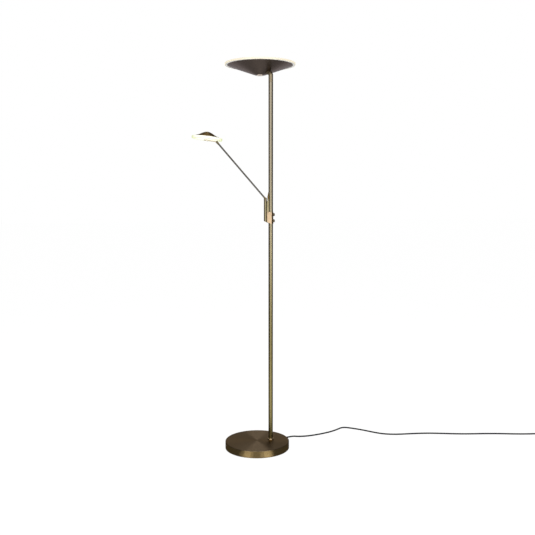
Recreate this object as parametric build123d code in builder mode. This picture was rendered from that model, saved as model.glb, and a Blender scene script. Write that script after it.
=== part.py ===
"""Floor lamp: an uplighter bowl on an offset pole, with a jointed reading light on a side bracket.

Millimetres. +Z is up and the origin is the middle of the base, on the floor. The pole stands on the
+X side of the base, and the bracket, the reading arm and its head lie in the XZ plane. The uplighter
bowl hangs over the pole by the same offset as the base, turned about the pole by uplight_turn.
"""

import os
from math import atan2, cos, degrees, dist, pi, radians, sin, sqrt, tan

from build123d import *

os.makedirs("parts", exist_ok=True)

# Overall
lamp_height = 1810.0

# Fits, as radial gaps or as gaps between faces
slide_fit = 0.05
turn_fit = 0.06
face_gap = 0.05
air_gap = 0.4

# Base
base_radius = 152.0
base_height = 35.0
cover_wall = 1.5
cover_edge = 2.5
skirt_lift = 1.5
pad_thickness = 3.0
pad_inset = 6.0
weight_radius = 120.0
weight_thickness = 16.0
groove_width = 10.0
groove_depth = 11.5
nipple_radius = 6.0
nipple_wall = 1.7
nipple_nut_flats = 19.0
nipple_nut_height = 5.0
bush_wall = 2.7
bush_clearance = 0.8
collar_width = 3.5
collar_height = 4.5
collar_edge = 1.2

# Pole
pole_offset = 67.0
pole_radius = 10.5
pole_wall = 1.5
pole_lower_length = 591.0
pole_middle_length = 591.0
pole_plug_length = 25.0
coupler_length = 60.0
coupler_wall = 3.0

# Mains cord
cord_diameter = 7.0
cord_height = 10.0
cord_exit_angle = 22.0
gland_flange_radius = 7.5
gland_flange_thickness = 2.5
gland_neck_radius = 5.2
gland_gap = 0.3
gland_collar_thickness = 2.0
gland_sleeve_radius = 6.0
gland_tip_radius = 4.6
gland_sleeve_length = 20.0
cord_first_run = 43.0
lead_first_run = 20.0
lead_bend_radius = 18.0
lead_rise_radius = 5.6

# Coil of the cord's far end, and its plug
coil_radius = 44.0
coil_turn_gap = 0.6
coil_layer_gap = 0.5
coil_quarters = 12
coil_lift = 1.0
coil_tail = 20.0
plug_drop_run = 30.0
tie_wall = 0.8
tie_width = 8.0
plug_length = 36.0
plug_width = 26.0
plug_rear_width = 13.0
plug_thickness = 13.7
plug_round = 3.0
pin_radius = 2.0
pin_length = 19.0
pin_spacing = 18.6

# Bracket on the pole
bracket_block_left = 22.9
bracket_block_depth = 24.0
bracket_block_height = 57.5
bracket_block_top = 91.5
bracket_corner = 4.0
bracket_edge = 1.0
bracket_slant_past_pole = 1.5
bracket_slant_rise = 14.5
web_thickness = 7.0
web_shoulder_drop = 22.0
post_offset = 25.8
post_radius = 7.2
post_below_pivot = 10.5
stem_radius = 4.5
stem_bore = 2.0
stem_length = 55.0
stem_tail_radius = 3.0
stem_tail_length = 9.0
post_counterbore = 5.8
swivel_washer_radius = 5.4
swivel_washer_thickness = 1.4
swivel_nut_flats = 9.2
swivel_nut_height = 5.0
set_screw_radius = 2.0
set_screw_heights = (12.0, 42.0)

# Dimmers
dimmer_drops = (105.0, 134.0)
dimmer_board_width = 14.6
dimmer_board_thickness = 1.6
dimmer_board_margin = 20.0
pot_width = 9.5
pot_height = 11.0
pot_depth = 7.5
pot_shaft_depth = 4.0
shaft_radius = 3.0
shaft_clearance = 0.4
shaft_end_cover = 1.3
knob_radius = 7.0
knob_length = 5.8
knob_edge = 0.8
knob_flutes = 24
flute_radius = 0.45

# Reading arm
arm_pivot_drop = 31.5
arm_elevation = 48.2
arm_length = 342.6
arm_radius = 3.75
arm_wall = 1.3
arm_wire_radius = 1.2
joint_radius = 6.0
joint_eye_thickness = 5.6
joint_washer_thickness = 0.3
joint_cheek_thickness = 3.0
joint_pin_radius = 2.0
joint_head_radius = 4.2
joint_head_height = 2.0
joint_nut_radius = 4.5
joint_nut_height = 3.0
fork_flange_thickness = 2.5
shank_start = 9.0
shank_length = 4.0
spigot_length = 14.0

# Reading head
head_tilt_at_rest = 6.5
head_reach = 47.3
head_rise = 10.4
head_cup_radius = 69.0
head_cup_height = 10.0
head_shade_radius = 52.0
head_shade_height = 25.0
head_shade_shoulder = 25.0
head_shoulder_drop = 8.0
head_shade_wall = 1.0
head_brim_height = 4.6
head_brim_angle = 12.0
head_boss_radius = 6.0
head_plate_thickness = 2.0
head_board_radius = 46.0
tip_radius = 5.0
tip_eye_thickness = 4.6
tip_cheek_thickness = 2.2
tip_pin_radius = 1.6
tip_head_radius = 3.2
tip_head_height = 1.6
tip_shank_start = 8.0
blade_width = 9.0
blade_thickness = 3.0
blade_drop = 2.0
head_screw_radius = 2.5
head_screw_head_radius = 6.0
head_screw_head_height = 3.0
head_screw_engagement = 8.0
spacer_wall = 2.0

# Uplighter
uplight_turn = 121.2
bowl_radius = 152.0
bowl_floor_radius = 27.0
bowl_depth = 44.5
bowl_wall = 1.2
uplight_cup_radius = 164.0
uplight_cup_height = 8.0
cup_wall = 2.5
uplight_plate_thickness = 2.0
board_thickness = 1.6
uplight_board_radius = 115.0
led_size = 3.5
led_height = 0.8
uplight_led_circles = (40.0, 72.0, 104.0)
uplight_led_counts = (12, 20, 28)
head_led_circles = (20.0, 38.0)
head_led_counts = (8, 14)
cup_post_radius = 3.0
cup_post_circle = 130.0
cap_radius = 16.0
cap_height = 3.5
cap_edge = 1.0
bolt_radius = 3.0
bolt_in_cap = 2.0
neck_straight = 30.0
neck_spigot_length = 40.0
neck_bend_radius = 12.5
neck_bend_angle = 60.0
neck_reach = 12.6
neck_bore = 4.5
stub_radius = 6.0
saddle_radius = 11.0
saddle_length = 12.5
neck_nut_flats = 18.0
neck_nut_height = 5.0
stub_past_nut = 1.5
wire_radius = 2.7
driver_length = 80.0
driver_width = 42.0
driver_height = 18.0
driver_gap = 12.0

# Heights and places worked out from the sizes above
cord_radius = cord_diameter / 2
coil_pitch = cord_diameter + coil_turn_gap
weight_top = pad_thickness + weight_thickness
cover_under = base_height - cover_wall
groove_top = pad_thickness + groove_depth
nipple_bore = nipple_radius - nipple_wall
bush_bore = nipple_nut_flats / sqrt(3) + bush_clearance
pole_bore = pole_radius - pole_wall
pole_axis = (pole_offset, 0)
lower_seam = base_height + pole_lower_length
bracket_top = lower_seam + pole_middle_length
arm_pivot_height = bracket_top - arm_pivot_drop
bracket_block_right = bracket_block_depth / 2
post_x = pole_offset - post_offset
post_top = arm_pivot_height - post_below_pivot
rim_height = lamp_height - uplight_cup_height
bowl_bottom = rim_height - bowl_depth
bowl_slope = bowl_depth / (bowl_radius - bowl_floor_radius)
bowl_offset = pole_offset
bowl_x = pole_offset + bowl_offset * cos(radians(uplight_turn))
bowl_y = bowl_offset * sin(radians(uplight_turn))
bend = radians(neck_bend_angle)
neck_end_run = neck_bend_radius * (1 - cos(bend)) + neck_reach * sin(bend)
neck_end_height = bowl_bottom + (bowl_offset - neck_end_run - bowl_floor_radius) * bowl_slope
neck_bend_start = neck_end_height - neck_bend_radius * sin(bend) - neck_reach * cos(bend)
pole_top = neck_bend_start - neck_straight

# Planes of the pieces that stand at an angle
exit_x = cos(radians(cord_exit_angle))
exit_y = sin(radians(cord_exit_angle))
gland_side = Plane(origin=(0, 0, cord_height), x_dir=(exit_x, exit_y, 0), z_dir=(exit_y, -exit_x, 0))
turn_x = cos(radians(uplight_turn))
turn_y = sin(radians(uplight_turn))
neck_side = Plane(origin=(pole_offset, 0, 0), x_dir=(turn_x, turn_y, 0), z_dir=(turn_y, -turn_x, 0))
bowl_side = Plane(origin=(bowl_x, bowl_y, 0), x_dir=(turn_x, turn_y, 0), z_dir=(turn_y, -turn_x, 0))
bowl_axis = Axis((bowl_x, bowl_y, 0), (0, 0, 1))
rise = radians(arm_elevation)
arm_direction = Vector(-cos(rise), 0, sin(rise))
arm_pivot = Vector(post_x, 0, arm_pivot_height)
head_pivot = arm_pivot + arm_direction * arm_length
arm_side = Plane(origin=arm_pivot, x_dir=arm_direction, z_dir=(0, -1, 0))
tilt = radians(head_tilt_at_rest)
head_right = Vector(cos(tilt), 0, -sin(tilt))
head_up = Vector(sin(tilt), 0, cos(tilt))
head_centre = head_pivot - head_right * head_reach + head_up * head_rise
head_side = Plane(origin=head_centre, x_dir=head_right, z_dir=(0, -1, 0))
head_axis = Axis(head_centre, head_up)
head_cup_bottom = -head_cup_height / 2
head_cup_top = head_cup_height / 2


def save(piece, label):
    """Name a finished piece and write it."""
    piece.part.label = label
    export_step(piece.part, f"parts/{label}.step")


def level(height, at=(0, 0)):
    """A level plane at a height, with its origin on a vertical axis."""
    return Plane(origin=(at[0], at[1], height))


def head_level(height):
    """A plane square to the reading head's axis, at a height above the middle of its cup."""
    return Plane(origin=head_centre + head_up * height, x_dir=head_right, z_dir=head_up)


def along_arm(distance):
    """A plane square to the reading arm, at a distance from its lower pivot."""
    return Plane(origin=arm_pivot + arm_direction * distance, x_dir=(0, 1, 0), z_dir=arm_direction)


def across(pivot, offset):
    """A plane square to a hinge's axis, at an offset along +Y."""
    return Plane(origin=pivot + Vector(0, offset, 0), x_dir=(1, 0, 0), z_dir=(0, 1, 0))


def make_tube(label, at, low, high, radius, bore):
    """An upright tube or ring between two heights."""
    with BuildPart() as tube:
        with BuildSketch(level(low, at)):
            Circle(radius)
            Circle(bore, mode=Mode.SUBTRACT)
        extrude(amount=high - low)
    save(tube, label)


def make_nut(label, plane, flats, height, bore):
    """A hexagon nut standing on a plane."""
    with BuildPart() as nut:
        with BuildSketch(plane):
            RegularPolygon(flats / 2, 6, major_radius=False)
            Circle(bore, mode=Mode.SUBTRACT)
        extrude(amount=height)
    save(nut, label)


def make_wire(label, points, corner_radii, radius):
    """A round wire along straight runs joined by tangent arcs."""
    with BuildPart() as wire:
        with BuildLine() as route:
            FilletPolyline(*points, radius=corner_radii)
        with BuildSketch(Plane(origin=route.line @ 0, z_dir=route.line % 0)):
            Circle(radius)
        sweep(path=route.line)
    save(wire, label)
    return route.wire().length, wire.part.volume


# Base: pad, weight, cover and what clamps the pole to them
with BuildPart() as base_pad:
    with BuildSketch(Plane.XY):
        Circle(base_radius - pad_inset)
    extrude(amount=pad_thickness)
save(base_pad, "base_pad")

gland_flange_outer = base_radius - cover_wall - gland_gap
gland_flange_inner = gland_flange_outer - gland_flange_thickness
lead_start = Vector(exit_x, exit_y, 0) * gland_flange_inner
lead_bend = Vector(exit_x, exit_y, 0) * (gland_flange_inner - lead_first_run)

with BuildPart() as base_weight:
    with BuildSketch(level(pad_thickness)):
        Circle(weight_radius)
    extrude(amount=weight_thickness)
    with BuildSketch(level(pad_thickness)):
        with BuildLine():
            Polyline(
                (exit_x * base_radius, exit_y * base_radius),
                (lead_bend.X, lead_bend.Y),
                pole_axis,
            )
        trace(line_width=groove_width)
        with Locations(pole_axis):
            Circle(groove_width / 2 + lead_rise_radius)
    extrude(amount=groove_depth, mode=Mode.SUBTRACT)
    with BuildSketch(level(pad_thickness, pole_axis)):
        Circle(nipple_radius + slide_fit)
    extrude(amount=weight_thickness, mode=Mode.SUBTRACT)
save(base_weight, "base_weight")

with BuildPart() as base_cover:
    with BuildSketch(level(skirt_lift)):
        Circle(base_radius)
    extrude(amount=base_height - skirt_lift)
    fillet(base_cover.edges().group_by(Axis.Z)[-1], cover_edge)
    with BuildSketch(level(skirt_lift)):
        Circle(base_radius - cover_wall)
    extrude(amount=cover_under - skirt_lift, mode=Mode.SUBTRACT)
    with BuildSketch(level(skirt_lift, pole_axis)):
        Circle(nipple_radius + slide_fit)
    extrude(amount=base_height, mode=Mode.SUBTRACT)
    with BuildSketch(Plane(origin=(0, 0, cord_height), z_dir=(exit_x, exit_y, 0))):
        Circle(gland_neck_radius + slide_fit)
    extrude(amount=base_radius + cover_wall, mode=Mode.SUBTRACT)
save(base_cover, "base_cover")

make_tube("base_bush", pole_axis, weight_top, cover_under, bush_bore + bush_wall, bush_bore)
make_tube("pole_nipple", pole_axis, groove_top, base_height + pole_plug_length, nipple_radius, nipple_bore)
make_nut(
    "nipple_nut", level(weight_top, pole_axis), nipple_nut_flats, nipple_nut_height, nipple_radius + slide_fit
)

with BuildPart() as foot_collar:
    with BuildSketch(level(base_height, pole_axis)):
        Circle(pole_radius + collar_width)
    extrude(amount=collar_height)
    fillet(foot_collar.edges().group_by(Axis.Z)[-1], collar_edge)
    with BuildSketch(level(base_height, pole_axis)):
        Circle(pole_radius + slide_fit)
    extrude(amount=collar_height, mode=Mode.SUBTRACT)
save(foot_collar, "foot_collar")

# Pole: three tubes on a foot plug, with two inner couplers
make_tube(
    "pole_plug",
    pole_axis,
    base_height,
    base_height + pole_plug_length,
    pole_bore - slide_fit,
    nipple_radius + slide_fit,
)
make_tube("pole_lower", pole_axis, base_height, lower_seam, pole_radius, pole_bore)
make_tube("pole_upper", pole_axis, bracket_top, pole_top, pole_radius, pole_bore)

dimmer_heights = [bracket_top - drop for drop in dimmer_drops]

with BuildPart() as pole_middle:
    with BuildSketch(level(lower_seam, pole_axis)):
        Circle(pole_radius)
        Circle(pole_bore, mode=Mode.SUBTRACT)
    extrude(amount=pole_middle_length)
    for height in dimmer_heights:
        with BuildSketch(Plane(origin=(pole_offset, 0, height), z_dir=(1, 0, 0))):
            Circle(shaft_radius + shaft_clearance)
        extrude(amount=2 * pole_radius, mode=Mode.SUBTRACT)
save(pole_middle, "pole_middle")

with BuildPart() as pole_couplers:
    for seam in (lower_seam, bracket_top):
        with BuildSketch(level(seam - coupler_length / 2, pole_axis)):
            Circle(pole_bore - slide_fit)
            Circle(pole_bore - slide_fit - coupler_wall, mode=Mode.SUBTRACT)
        extrude(amount=coupler_length)
save(pole_couplers, "pole_couplers")

# Dimmer board in the pole, with two potentiometers that face +X
board_face = pole_offset - wire_radius - face_gap
board_low = min(dimmer_heights) - dimmer_board_margin
board_high = max(dimmer_heights) + dimmer_board_margin

with BuildPart() as dimmer_board:
    with BuildSketch(Plane(origin=(board_face, 0, board_low), z_dir=(-1, 0, 0), x_dir=(0, 1, 0))):
        with Locations((0, 0)):
            Rectangle(dimmer_board_width, board_high - board_low, align=(Align.CENTER, Align.MAX))
    extrude(amount=dimmer_board_thickness)
save(dimmer_board, "dimmer_board")

with BuildPart() as dimmer_pots:
    for height in dimmer_heights:
        with BuildSketch(Plane(origin=(board_face, 0, height), x_dir=(0, 1, 0), z_dir=(1, 0, 0))):
            Rectangle(pot_width, pot_height)
        extrude(amount=pot_depth)
        pot_face = Plane(origin=(board_face + pot_depth, 0, height), x_dir=(0, 1, 0), z_dir=(1, 0, 0))
        with BuildSketch(pot_face):
            Circle(shaft_radius + turn_fit)
        extrude(amount=-pot_shaft_depth, mode=Mode.SUBTRACT)
save(dimmer_pots, "dimmer_pots")

# Two dimmer shafts and their fluted knobs
knob_base = pole_offset + bracket_block_right + air_gap
shaft_inner = board_face + pot_depth - pot_shaft_depth + air_gap
shaft_outer = knob_base + knob_length - shaft_end_cover

for name, height in zip(("uplight", "reading"), dimmer_heights):
    with BuildPart() as shaft:
        with BuildSketch(Plane(origin=(shaft_inner, 0, height), z_dir=(1, 0, 0))):
            Circle(shaft_radius)
        extrude(amount=shaft_outer - shaft_inner)
    save(shaft, f"shaft_{name}")

    knob_plane = Plane(origin=(knob_base, 0, height), x_dir=(0, 1, 0), z_dir=(1, 0, 0))
    with BuildPart() as knob:
        with BuildSketch(knob_plane):
            Circle(knob_radius)
        extrude(amount=knob_length)
        chamfer(knob.edges().group_by(Axis.X)[-1], knob_edge)
        with BuildSketch(knob_plane):
            with PolarLocations(knob_radius, knob_flutes):
                Circle(flute_radius)
            Circle(shaft_radius + slide_fit)
        extrude(amount=shaft_outer - knob_base + face_gap, mode=Mode.SUBTRACT)
    save(knob, f"knob_{name}")

# Bracket: a block round the pole, an upright post for the arm's swivel, and a web between them
block_top = bracket_top - bracket_block_top
block_bottom = block_top - bracket_block_height
slant_left = pole_offset - post_offset - post_radius
slant_right = pole_offset + bracket_slant_past_pole
stem_bottom = post_top - stem_length
web_clear = joint_cheek_thickness + joint_washer_thickness + face_gap * 2 + joint_eye_thickness / 2
web_shoulder = post_x + web_clear + joint_nut_height + air_gap * 4

with BuildPart() as bracket_body:
    with BuildSketch(level(block_bottom, pole_axis)) as block_outline:
        Rectangle(bracket_block_left, bracket_block_depth, align=(Align.MAX, Align.CENTER))
        Circle(bracket_block_right)
        fillet(block_outline.vertices().group_by(Axis.X)[0], bracket_corner)
    extrude(amount=bracket_block_height)
    fillet(bracket_body.edges().group_by(Axis.Z)[-1], bracket_edge)
    for height in dimmer_heights:
        with BuildSketch(Plane(origin=(pole_offset, 0, height), z_dir=(1, 0, 0))):
            Circle(knob_radius - knob_edge)
        extrude(amount=bracket_block_right)
    with BuildSketch(level(block_bottom, (post_x, 0))):
        Circle(post_radius)
    extrude(amount=post_top - block_bottom)
    with BuildSketch(Plane.XZ):
        with BuildLine():
            Polyline(
                (post_x, block_bottom),
                (pole_offset, block_bottom),
                (pole_offset, bracket_top),
                (pole_offset - pole_radius, bracket_top),
                (web_shoulder, bracket_top - web_shoulder_drop),
                (web_shoulder, post_top),
                (post_x, post_top),
                close=True,
            )
        make_face()
    extrude(amount=web_thickness / 2, both=True)
    with BuildSketch(Plane.XZ):
        with BuildLine():
            Polyline(
                (slant_right, block_bottom),
                (slant_left, block_bottom + bracket_slant_rise),
                (slant_left - post_radius, block_bottom + bracket_slant_rise),
                (slant_left - post_radius, block_bottom - post_radius),
                (slant_right, block_bottom - post_radius),
                close=True,
            )
        make_face()
    extrude(amount=bracket_block_depth, both=True, mode=Mode.SUBTRACT)
    with BuildSketch(level(block_bottom, pole_axis)):
        Circle(pole_radius + slide_fit)
    extrude(amount=bracket_top - block_bottom, mode=Mode.SUBTRACT)
    with BuildSketch(level(block_bottom, (post_x, 0))):
        Circle(stem_radius + turn_fit)
    extrude(amount=post_top - block_bottom, mode=Mode.SUBTRACT)
    with BuildSketch(level(block_bottom, (post_x, 0))):
        Circle(post_counterbore)
    extrude(amount=stem_bottom - block_bottom, mode=Mode.SUBTRACT)
    for height in dimmer_heights:
        with BuildSketch(Plane(origin=(pole_offset, 0, height), z_dir=(1, 0, 0))):
            Circle(shaft_radius + shaft_clearance)
        extrude(amount=2 * bracket_block_right, mode=Mode.SUBTRACT)
    for height in set_screw_heights:
        with BuildSketch(Plane(origin=(pole_offset, 0, block_bottom + height), z_dir=(0, 1, 0))):
            Circle(set_screw_radius + slide_fit)
        extrude(amount=bracket_block_depth, mode=Mode.SUBTRACT)
save(bracket_body, "bracket_body")

with BuildPart() as bracket_screws:
    for height in set_screw_heights:
        screw_plane = Plane(origin=(pole_offset, pole_radius, block_bottom + height), z_dir=(0, 1, 0))
        with BuildSketch(screw_plane):
            Circle(set_screw_radius)
        extrude(amount=bracket_block_depth / 2 - pole_radius)
save(bracket_screws, "bracket_screws")

# Arm swivel: a fork whose stem turns in the post, held by a washer and nut below
fork_base = post_top + face_gap
fork_floor = fork_base + fork_flange_thickness
cheek_inner = joint_eye_thickness / 2 + joint_washer_thickness + 2 * face_gap
cheek_outer = cheek_inner + joint_cheek_thickness
washer_top = stem_bottom - air_gap

with BuildPart() as swivel_fork:
    with BuildSketch(level(fork_base, (post_x, 0))):
        Circle(post_radius)
    extrude(amount=fork_flange_thickness)
    with BuildSketch(level(fork_base, (post_x, 0))):
        Circle(stem_radius)
    extrude(amount=washer_top - fork_base)
    with BuildSketch(level(washer_top, (post_x, 0))):
        Circle(stem_tail_radius)
    extrude(amount=-stem_tail_length)
    for side in (-1, 1):
        with BuildSketch(across(arm_pivot, side * cheek_inner)):
            Circle(joint_radius)
            with Locations((0, 0)):
                Rectangle(
                    2 * joint_radius,
                    arm_pivot_height - fork_floor,
                    align=(Align.CENTER, Align.MIN),
                )
            Circle(joint_pin_radius + slide_fit, mode=Mode.SUBTRACT)
        extrude(amount=side * joint_cheek_thickness)
    with BuildSketch(level(washer_top - stem_tail_length, (post_x, 0))):
        Circle(stem_bore)
    extrude(amount=fork_floor - washer_top + stem_tail_length, mode=Mode.SUBTRACT)
save(swivel_fork, "swivel_fork")

washer_bottom = washer_top - swivel_washer_thickness
make_tube(
    "swivel_washer",
    (post_x, 0),
    washer_bottom,
    washer_top,
    swivel_washer_radius,
    stem_tail_radius + slide_fit,
)
make_nut(
    "swivel_nut",
    level(washer_bottom - swivel_nut_height, (post_x, 0)),
    swivel_nut_flats,
    swivel_nut_height,
    stem_tail_radius + slide_fit,
)

# Arm hinge: screw, thumb nut and two friction washers in the fork
with BuildPart() as arm_pin:
    with BuildSketch(across(arm_pivot, -cheek_outer)):
        Circle(joint_pin_radius)
    extrude(amount=2 * cheek_outer + joint_nut_height)
    with BuildSketch(across(arm_pivot, -cheek_outer)):
        Circle(joint_head_radius)
    extrude(amount=-joint_head_height)
save(arm_pin, "arm_pin")

with BuildPart() as arm_nut:
    with BuildSketch(across(arm_pivot, cheek_outer)):
        Circle(joint_nut_radius)
        with PolarLocations(joint_nut_radius, knob_flutes):
            Circle(flute_radius / 2, mode=Mode.SUBTRACT)
        Circle(joint_pin_radius + slide_fit, mode=Mode.SUBTRACT)
    extrude(amount=joint_nut_height)
save(arm_nut, "arm_nut")

with BuildPart() as arm_washers:
    for side in (-1, 1):
        with BuildSketch(across(arm_pivot, side * (cheek_inner - face_gap))):
            Circle(joint_radius - slide_fit)
            Circle(joint_pin_radius + slide_fit, mode=Mode.SUBTRACT)
        extrude(amount=-side * joint_washer_thickness)
save(arm_washers, "arm_washers")

# Reading arm: eye, tube, fork at the tip and the wire inside
tube_start = shank_start + shank_length
tube_end = arm_length - tip_shank_start - shank_length
arm_bore = arm_radius - arm_wall
spigot_radius = arm_bore - slide_fit
wire_bore = arm_wire_radius + slide_fit

with BuildPart() as arm_root:
    with BuildSketch(arm_side):
        Circle(joint_radius)
        Rectangle(tube_start, 2 * arm_radius, align=(Align.MIN, Align.CENTER))
    extrude(amount=joint_eye_thickness / 2, both=True)
    with BuildSketch(along_arm(shank_start)):
        Circle(arm_radius)
    extrude(amount=shank_length)
    with BuildSketch(along_arm(tube_start)):
        Circle(spigot_radius)
    extrude(amount=spigot_length)
    with BuildSketch(along_arm(shank_start)):
        Circle(wire_bore)
    extrude(amount=shank_length + spigot_length, mode=Mode.SUBTRACT)
    with BuildSketch(arm_side):
        Circle(joint_pin_radius + turn_fit)
    extrude(amount=joint_eye_thickness, both=True, mode=Mode.SUBTRACT)
save(arm_root, "arm_root")

with BuildPart() as arm_tube:
    with BuildSketch(along_arm(tube_start)):
        Circle(arm_radius)
        Circle(arm_bore, mode=Mode.SUBTRACT)
    extrude(amount=tube_end - tube_start)
save(arm_tube, "arm_tube")

tip_inner = tip_eye_thickness / 2 + face_gap
tip_outer = tip_inner + tip_cheek_thickness
tip_side = Plane(origin=head_pivot, x_dir=-arm_direction, z_dir=(0, -1, 0))

with BuildPart() as arm_tip:
    for side in (-1, 1):
        with BuildSketch(tip_side.offset(side * tip_inner)):
            Circle(tip_radius)
            Rectangle(
                tip_shank_start + shank_length,
                2 * arm_radius,
                align=(Align.MIN, Align.CENTER),
            )
            Circle(tip_pin_radius + slide_fit, mode=Mode.SUBTRACT)
        extrude(amount=side * tip_cheek_thickness)
    with BuildSketch(along_arm(tube_end)):
        Rectangle(2 * tip_outer, 2 * arm_radius)
    extrude(amount=shank_length)
    with BuildSketch(along_arm(tube_end)):
        Circle(spigot_radius)
    extrude(amount=-spigot_length)
    with BuildSketch(along_arm(tube_end - spigot_length)):
        Circle(wire_bore)
    extrude(amount=shank_length + spigot_length, mode=Mode.SUBTRACT)
save(arm_tip, "arm_tip")

with BuildPart() as arm_wiring:
    with BuildSketch(along_arm(shank_start)):
        Circle(arm_wire_radius)
    extrude(amount=tube_end + shank_length - shank_start)
save(arm_wiring, "arm_wiring")

# Head hinge: screw and nut in the arm's tip
with BuildPart() as tip_pin:
    with BuildSketch(across(head_pivot, -tip_outer)):
        Circle(tip_pin_radius)
    extrude(amount=2 * tip_outer + tip_head_height)
    with BuildSketch(across(head_pivot, -tip_outer)):
        Circle(tip_head_radius)
    extrude(amount=-tip_head_height)
save(tip_pin, "tip_pin")

make_nut("tip_nut", across(head_pivot, tip_outer), 2 * tip_head_radius, tip_head_height, tip_pin_radius + slide_fit)

# Reading head: blade under the cup, opal cup, plate, board with LEDs, shade and the screw through them
blade_top = head_cup_bottom - blade_drop
pivot_level = -head_rise
cup_floor = head_cup_bottom + cup_wall
plate_low = head_cup_top - head_plate_thickness
board_low_face = plate_low - board_thickness
boss_low = head_cup_top
screw_bore = head_screw_radius + slide_fit

with BuildPart() as head_blade:
    with BuildSketch(head_level(blade_top)):
        SlotCenterToCenter(2 * blade_width, blade_width)
        Rectangle(head_reach, blade_width, align=(Align.MIN, Align.CENTER))
    extrude(amount=-blade_thickness)
    eye_cut = tip_radius + air_gap
    with BuildSketch(head_side):
        with Locations((head_reach, pivot_level)):
            Circle(eye_cut)
    extrude(amount=blade_width, both=True, mode=Mode.SUBTRACT)
    with BuildSketch(head_side):
        with Locations((head_reach, pivot_level)):
            Circle(tip_radius)
        with Locations((head_reach, blade_top)):
            Rectangle(2 * tip_radius, blade_thickness, align=(Align.MAX, Align.MAX))
        with Locations((head_reach, pivot_level)):
            Circle(tip_pin_radius + turn_fit, mode=Mode.SUBTRACT)
    extrude(amount=tip_eye_thickness / 2, both=True)
    with BuildSketch(head_level(blade_top)):
        Circle(screw_bore)
    extrude(amount=-blade_thickness, mode=Mode.SUBTRACT)
save(head_blade, "head_blade")

with BuildPart() as head_spacer:
    for low, high in ((blade_top, head_cup_bottom), (cup_floor, board_low_face)):
        with BuildSketch(head_level(low)):
            Circle(screw_bore + spacer_wall)
            Circle(screw_bore, mode=Mode.SUBTRACT)
        extrude(amount=high - low)
save(head_spacer, "head_spacer")

with BuildPart() as head_screw:
    with BuildSketch(head_level(blade_top - blade_thickness)):
        Circle(head_screw_radius)
    extrude(amount=boss_low + head_screw_engagement - blade_top + blade_thickness)
    with BuildSketch(head_level(blade_top - blade_thickness)):
        Circle(head_screw_head_radius)
    extrude(amount=-head_screw_head_height, taper=20)
save(head_screw, "head_screw")

with BuildPart() as head_diffuser:
    with BuildSketch(head_level(head_cup_bottom)):
        Circle(head_cup_radius)
    extrude(amount=head_cup_height)
    fillet(head_diffuser.edges().group_by(head_axis)[0], cup_wall / 2)
    with BuildSketch(head_level(cup_floor)):
        Circle(head_cup_radius - cup_wall)
    extrude(amount=head_cup_height, mode=Mode.SUBTRACT)
    with BuildSketch(head_level(head_cup_bottom)):
        Circle(screw_bore)
    extrude(amount=cup_wall, mode=Mode.SUBTRACT)
save(head_diffuser, "head_diffuser")

with BuildPart() as head_plate:
    with BuildSketch(head_level(plate_low)):
        Circle(head_cup_radius - cup_wall - slide_fit)
        Circle(screw_bore, mode=Mode.SUBTRACT)
    extrude(amount=head_plate_thickness)
save(head_plate, "head_plate")

with BuildPart() as head_led_board:
    with BuildSketch(head_level(board_low_face)):
        Circle(head_board_radius)
        Circle(screw_bore, mode=Mode.SUBTRACT)
    extrude(amount=board_thickness)
save(head_led_board, "head_led_board")

with BuildPart() as head_leds:
    with BuildSketch(head_level(board_low_face)):
        for circle, count in zip(head_led_circles, head_led_counts):
            with PolarLocations(circle, count):
                Rectangle(led_size, led_size)
    extrude(amount=-led_height)
save(head_leds, "head_leds")

shade_top = head_cup_top + head_shade_height
shade_shoulder = shade_top - head_shoulder_drop
brim_top = head_cup_top + head_brim_height
brim_inner = head_shade_radius - head_shade_wall
brim_way = (cos(radians(head_brim_angle)), -sin(radians(head_brim_angle)))
screw_top = boss_low + head_screw_engagement + air_gap

with BuildPart() as head_shade:
    with BuildSketch(head_side):
        with BuildLine():
            Spline(
                (0, shade_top),
                (head_shade_shoulder, shade_shoulder),
                (head_shade_radius, brim_top),
                tangents=[(1, 0), brim_way],
            )
            Polyline(
                (head_shade_radius, brim_top),
                (head_shade_radius, head_cup_top),
                (brim_inner, head_cup_top),
                (brim_inner, brim_top - head_shade_wall),
            )
            Spline(
                (head_boss_radius, shade_top - 2 * head_shade_wall),
                (head_shade_shoulder - head_shade_wall, shade_shoulder - head_shade_wall),
                (brim_inner, brim_top - head_shade_wall),
                tangents=[(1, 0), brim_way],
            )
            Polyline(
                (head_boss_radius, shade_top - 2 * head_shade_wall),
                (head_boss_radius, boss_low),
                (screw_bore, boss_low),
                (screw_bore, screw_top),
                (0, screw_top),
                (0, shade_top),
            )
        make_face()
    revolve(axis=head_axis)
save(head_shade, "head_shade")

# Uplighter neck: a bent casting that turns in the pole's top and passes through the bowl's flank
bend_end = (
    neck_bend_radius * (1 - cos(bend)),
    neck_bend_start + neck_bend_radius * sin(bend),
)
neck_way = Vector(sin(bend) * turn_x, sin(bend) * turn_y, cos(bend))
neck_end = Vector(pole_offset + neck_end_run * turn_x, neck_end_run * turn_y, neck_end_height)
stub_length = saddle_length + neck_nut_height + stub_past_nut
rim_width = bowl_wall * sqrt(1 + bowl_slope**2) / bowl_slope
inner_floor_radius = bowl_floor_radius + bowl_wall / bowl_slope - rim_width


def neck_line(start, past_end):
    """The neck's middle line from a height on the pole to a distance past the bowl's flank."""
    with BuildLine(neck_side) as line:
        Line((0, start), (0, neck_bend_start))
        RadiusArc((0, neck_bend_start), bend_end, neck_bend_radius)
        Line(bend_end, (neck_end_run + past_end * sin(bend), neck_end_height + past_end * cos(bend)))
    return line.line


spigot_low = pole_top - neck_spigot_length

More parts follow.
